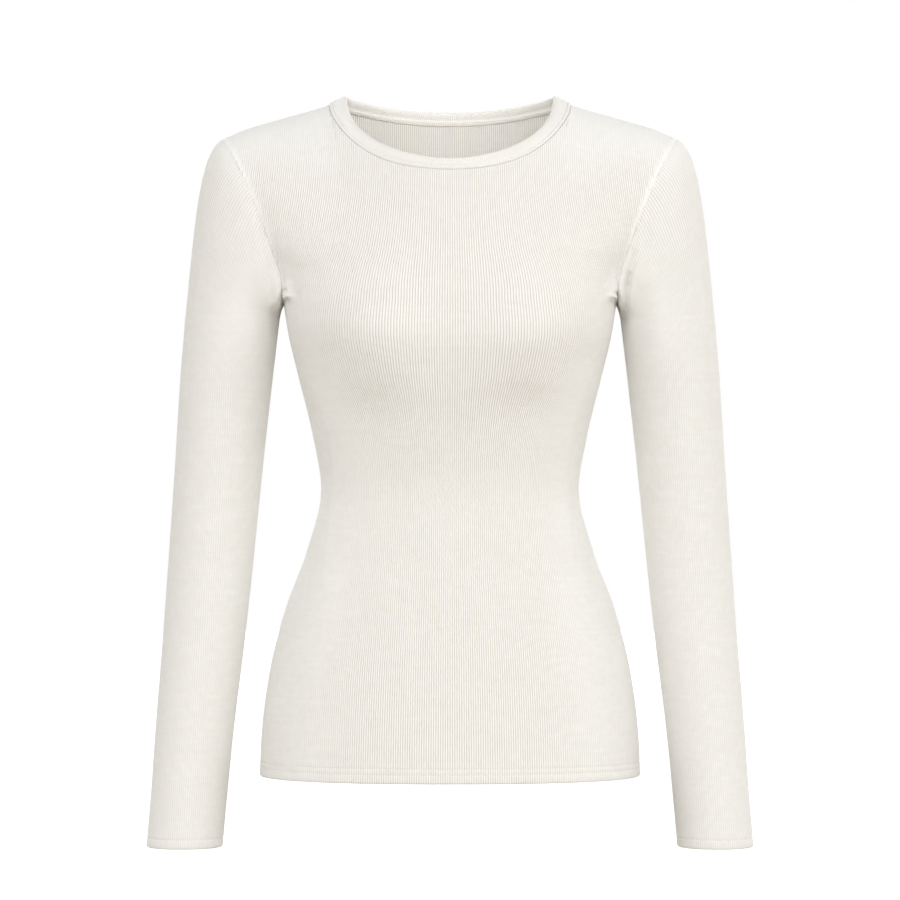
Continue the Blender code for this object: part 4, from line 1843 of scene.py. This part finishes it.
# %% [markdown]
# ## The lamp in the neck
#
# Light that has bounced about inside a garment is weak and warm. A small warm lamp in the
# hollow, below the neckline, stands for it and shows the inside of the back.

# %% Lamp in the neck
NECK_WATTS = 0.09
NECK_COLOUR = (1, 0.94, 0.85)


def neck_lamp():
    data = bpy.data.lights.new("neck_lamp", "POINT")
    data.energy = NECK_WATTS
    data.color = NECK_COLOUR
    data.shadow_soft_size = 0.03
    light = placed_object("neck_lamp", data)
    light.location = (0, -0.02, -0.09)
    return light


print("lamp:", neck_lamp().name)

# %% [markdown]
# ## The surround
#
# The light is one broad white surround, brightest in a band a little above the camera,
# like a ring of softboxes, and a bit stronger on the wearer's left. A form lit that way
# darkens gently wherever it turns down or away. A few lamps would be simpler, but each
# would leave an edge of shadow under the bust. The camera itself sees plain white behind.

# %% Light
# How bright and warm the surround is, from straight down to straight up.
GLOW = table(
    "height glow warm",
    (-1, 0.5, 1),
    (-0.4, 0.4, 1),
    (-0.12, 0.15, 1),
    (0, 1.65, 0.2),
    (0.1, 3.9, 0),
    (0.2, 4.4, 0),
    (0.3, 3.9, 0),
    (0.45, 1.8, 0),
    (0.65, 0.4, 0.3),
    (1, 0.18, 0.3),
)
WARM = np.array((0, 0.1, 0.28))  # what a warm row lacks of red, green and blue
WARM_SIDES = (1, 0.985, 0.95, 1)  # the colour of the surround right at the sides
MOST_GLOW = 5.0
TO_THE_SIDE = 0.1  # how much brighter the surround is towards the wearer's left
SIDES_DIM = 0.55  # how much of it is lost right at the sides
world = bpy.data.worlds.new("studio")
world.use_nodes = True
tree = world.node_tree
split = tree.nodes.new("ShaderNodeSeparateXYZ")
tree.links.new(tree.nodes.new("ShaderNodeTexCoord").outputs["Generated"], split.inputs[0])
ramp = tree.nodes.new("ShaderNodeValToRGB")
stops = ramp.color_ramp.elements
while len(stops) < len(GLOW):
    stops.new(0.5)
for stop, row in zip(stops, GLOW):
    stop.position = (row["height"] + 1) / 2
    stop.color = (*(row["glow"] / MOST_GLOW * (1 - WARM * row["warm"])), 1)
tree.links.new(maths(tree, "MULTIPLY_ADD", split.outputs[2], 0.5, 0.5), ramp.inputs[0])
sideways = maths(tree, "MULTIPLY_ADD", split.outputs[0], TO_THE_SIDE, 1.0)
aside = maths(tree, "MULTIPLY", split.outputs[0], split.outputs[0])
sideways = maths(tree, "MULTIPLY_ADD", aside, -SIDES_DIM, sideways)
glow = maths(tree, "MULTIPLY", sideways, MOST_GLOW)
warmed = mixed(tree, aside, ramp.outputs[0], WARM_SIDES)
warmed.node.blend_type = "MULTIPLY"
surround = tree.nodes["Background"]
tree.links.new(warmed, surround.inputs["Color"])
tree.links.new(glow, surround.inputs["Strength"])
backdrop = tree.nodes.new("ShaderNodeBackground")
backdrop.inputs["Color"].default_value = (1, 1, 1, 1)
seen = tree.nodes.new("ShaderNodeLightPath")
either = tree.nodes.new("ShaderNodeMixShader")
tree.links.new(seen.outputs["Is Camera Ray"], either.inputs[0])
tree.links.new(surround.outputs[0], either.inputs[1])
tree.links.new(backdrop.outputs[0], either.inputs[2])
tree.links.new(either.outputs[0], tree.nodes["World Output"].inputs[0])
bpy.context.scene.world = world
bpy.context.scene.view_settings.view_transform = "Standard"
print("heights in the surround:", len(GLOW))

# %% [markdown]
# ## Bringing the scene up to date
#
# The last line brings the scene up to date.

# %% Bringing the scene up to date


bpy.context.view_layer.update()
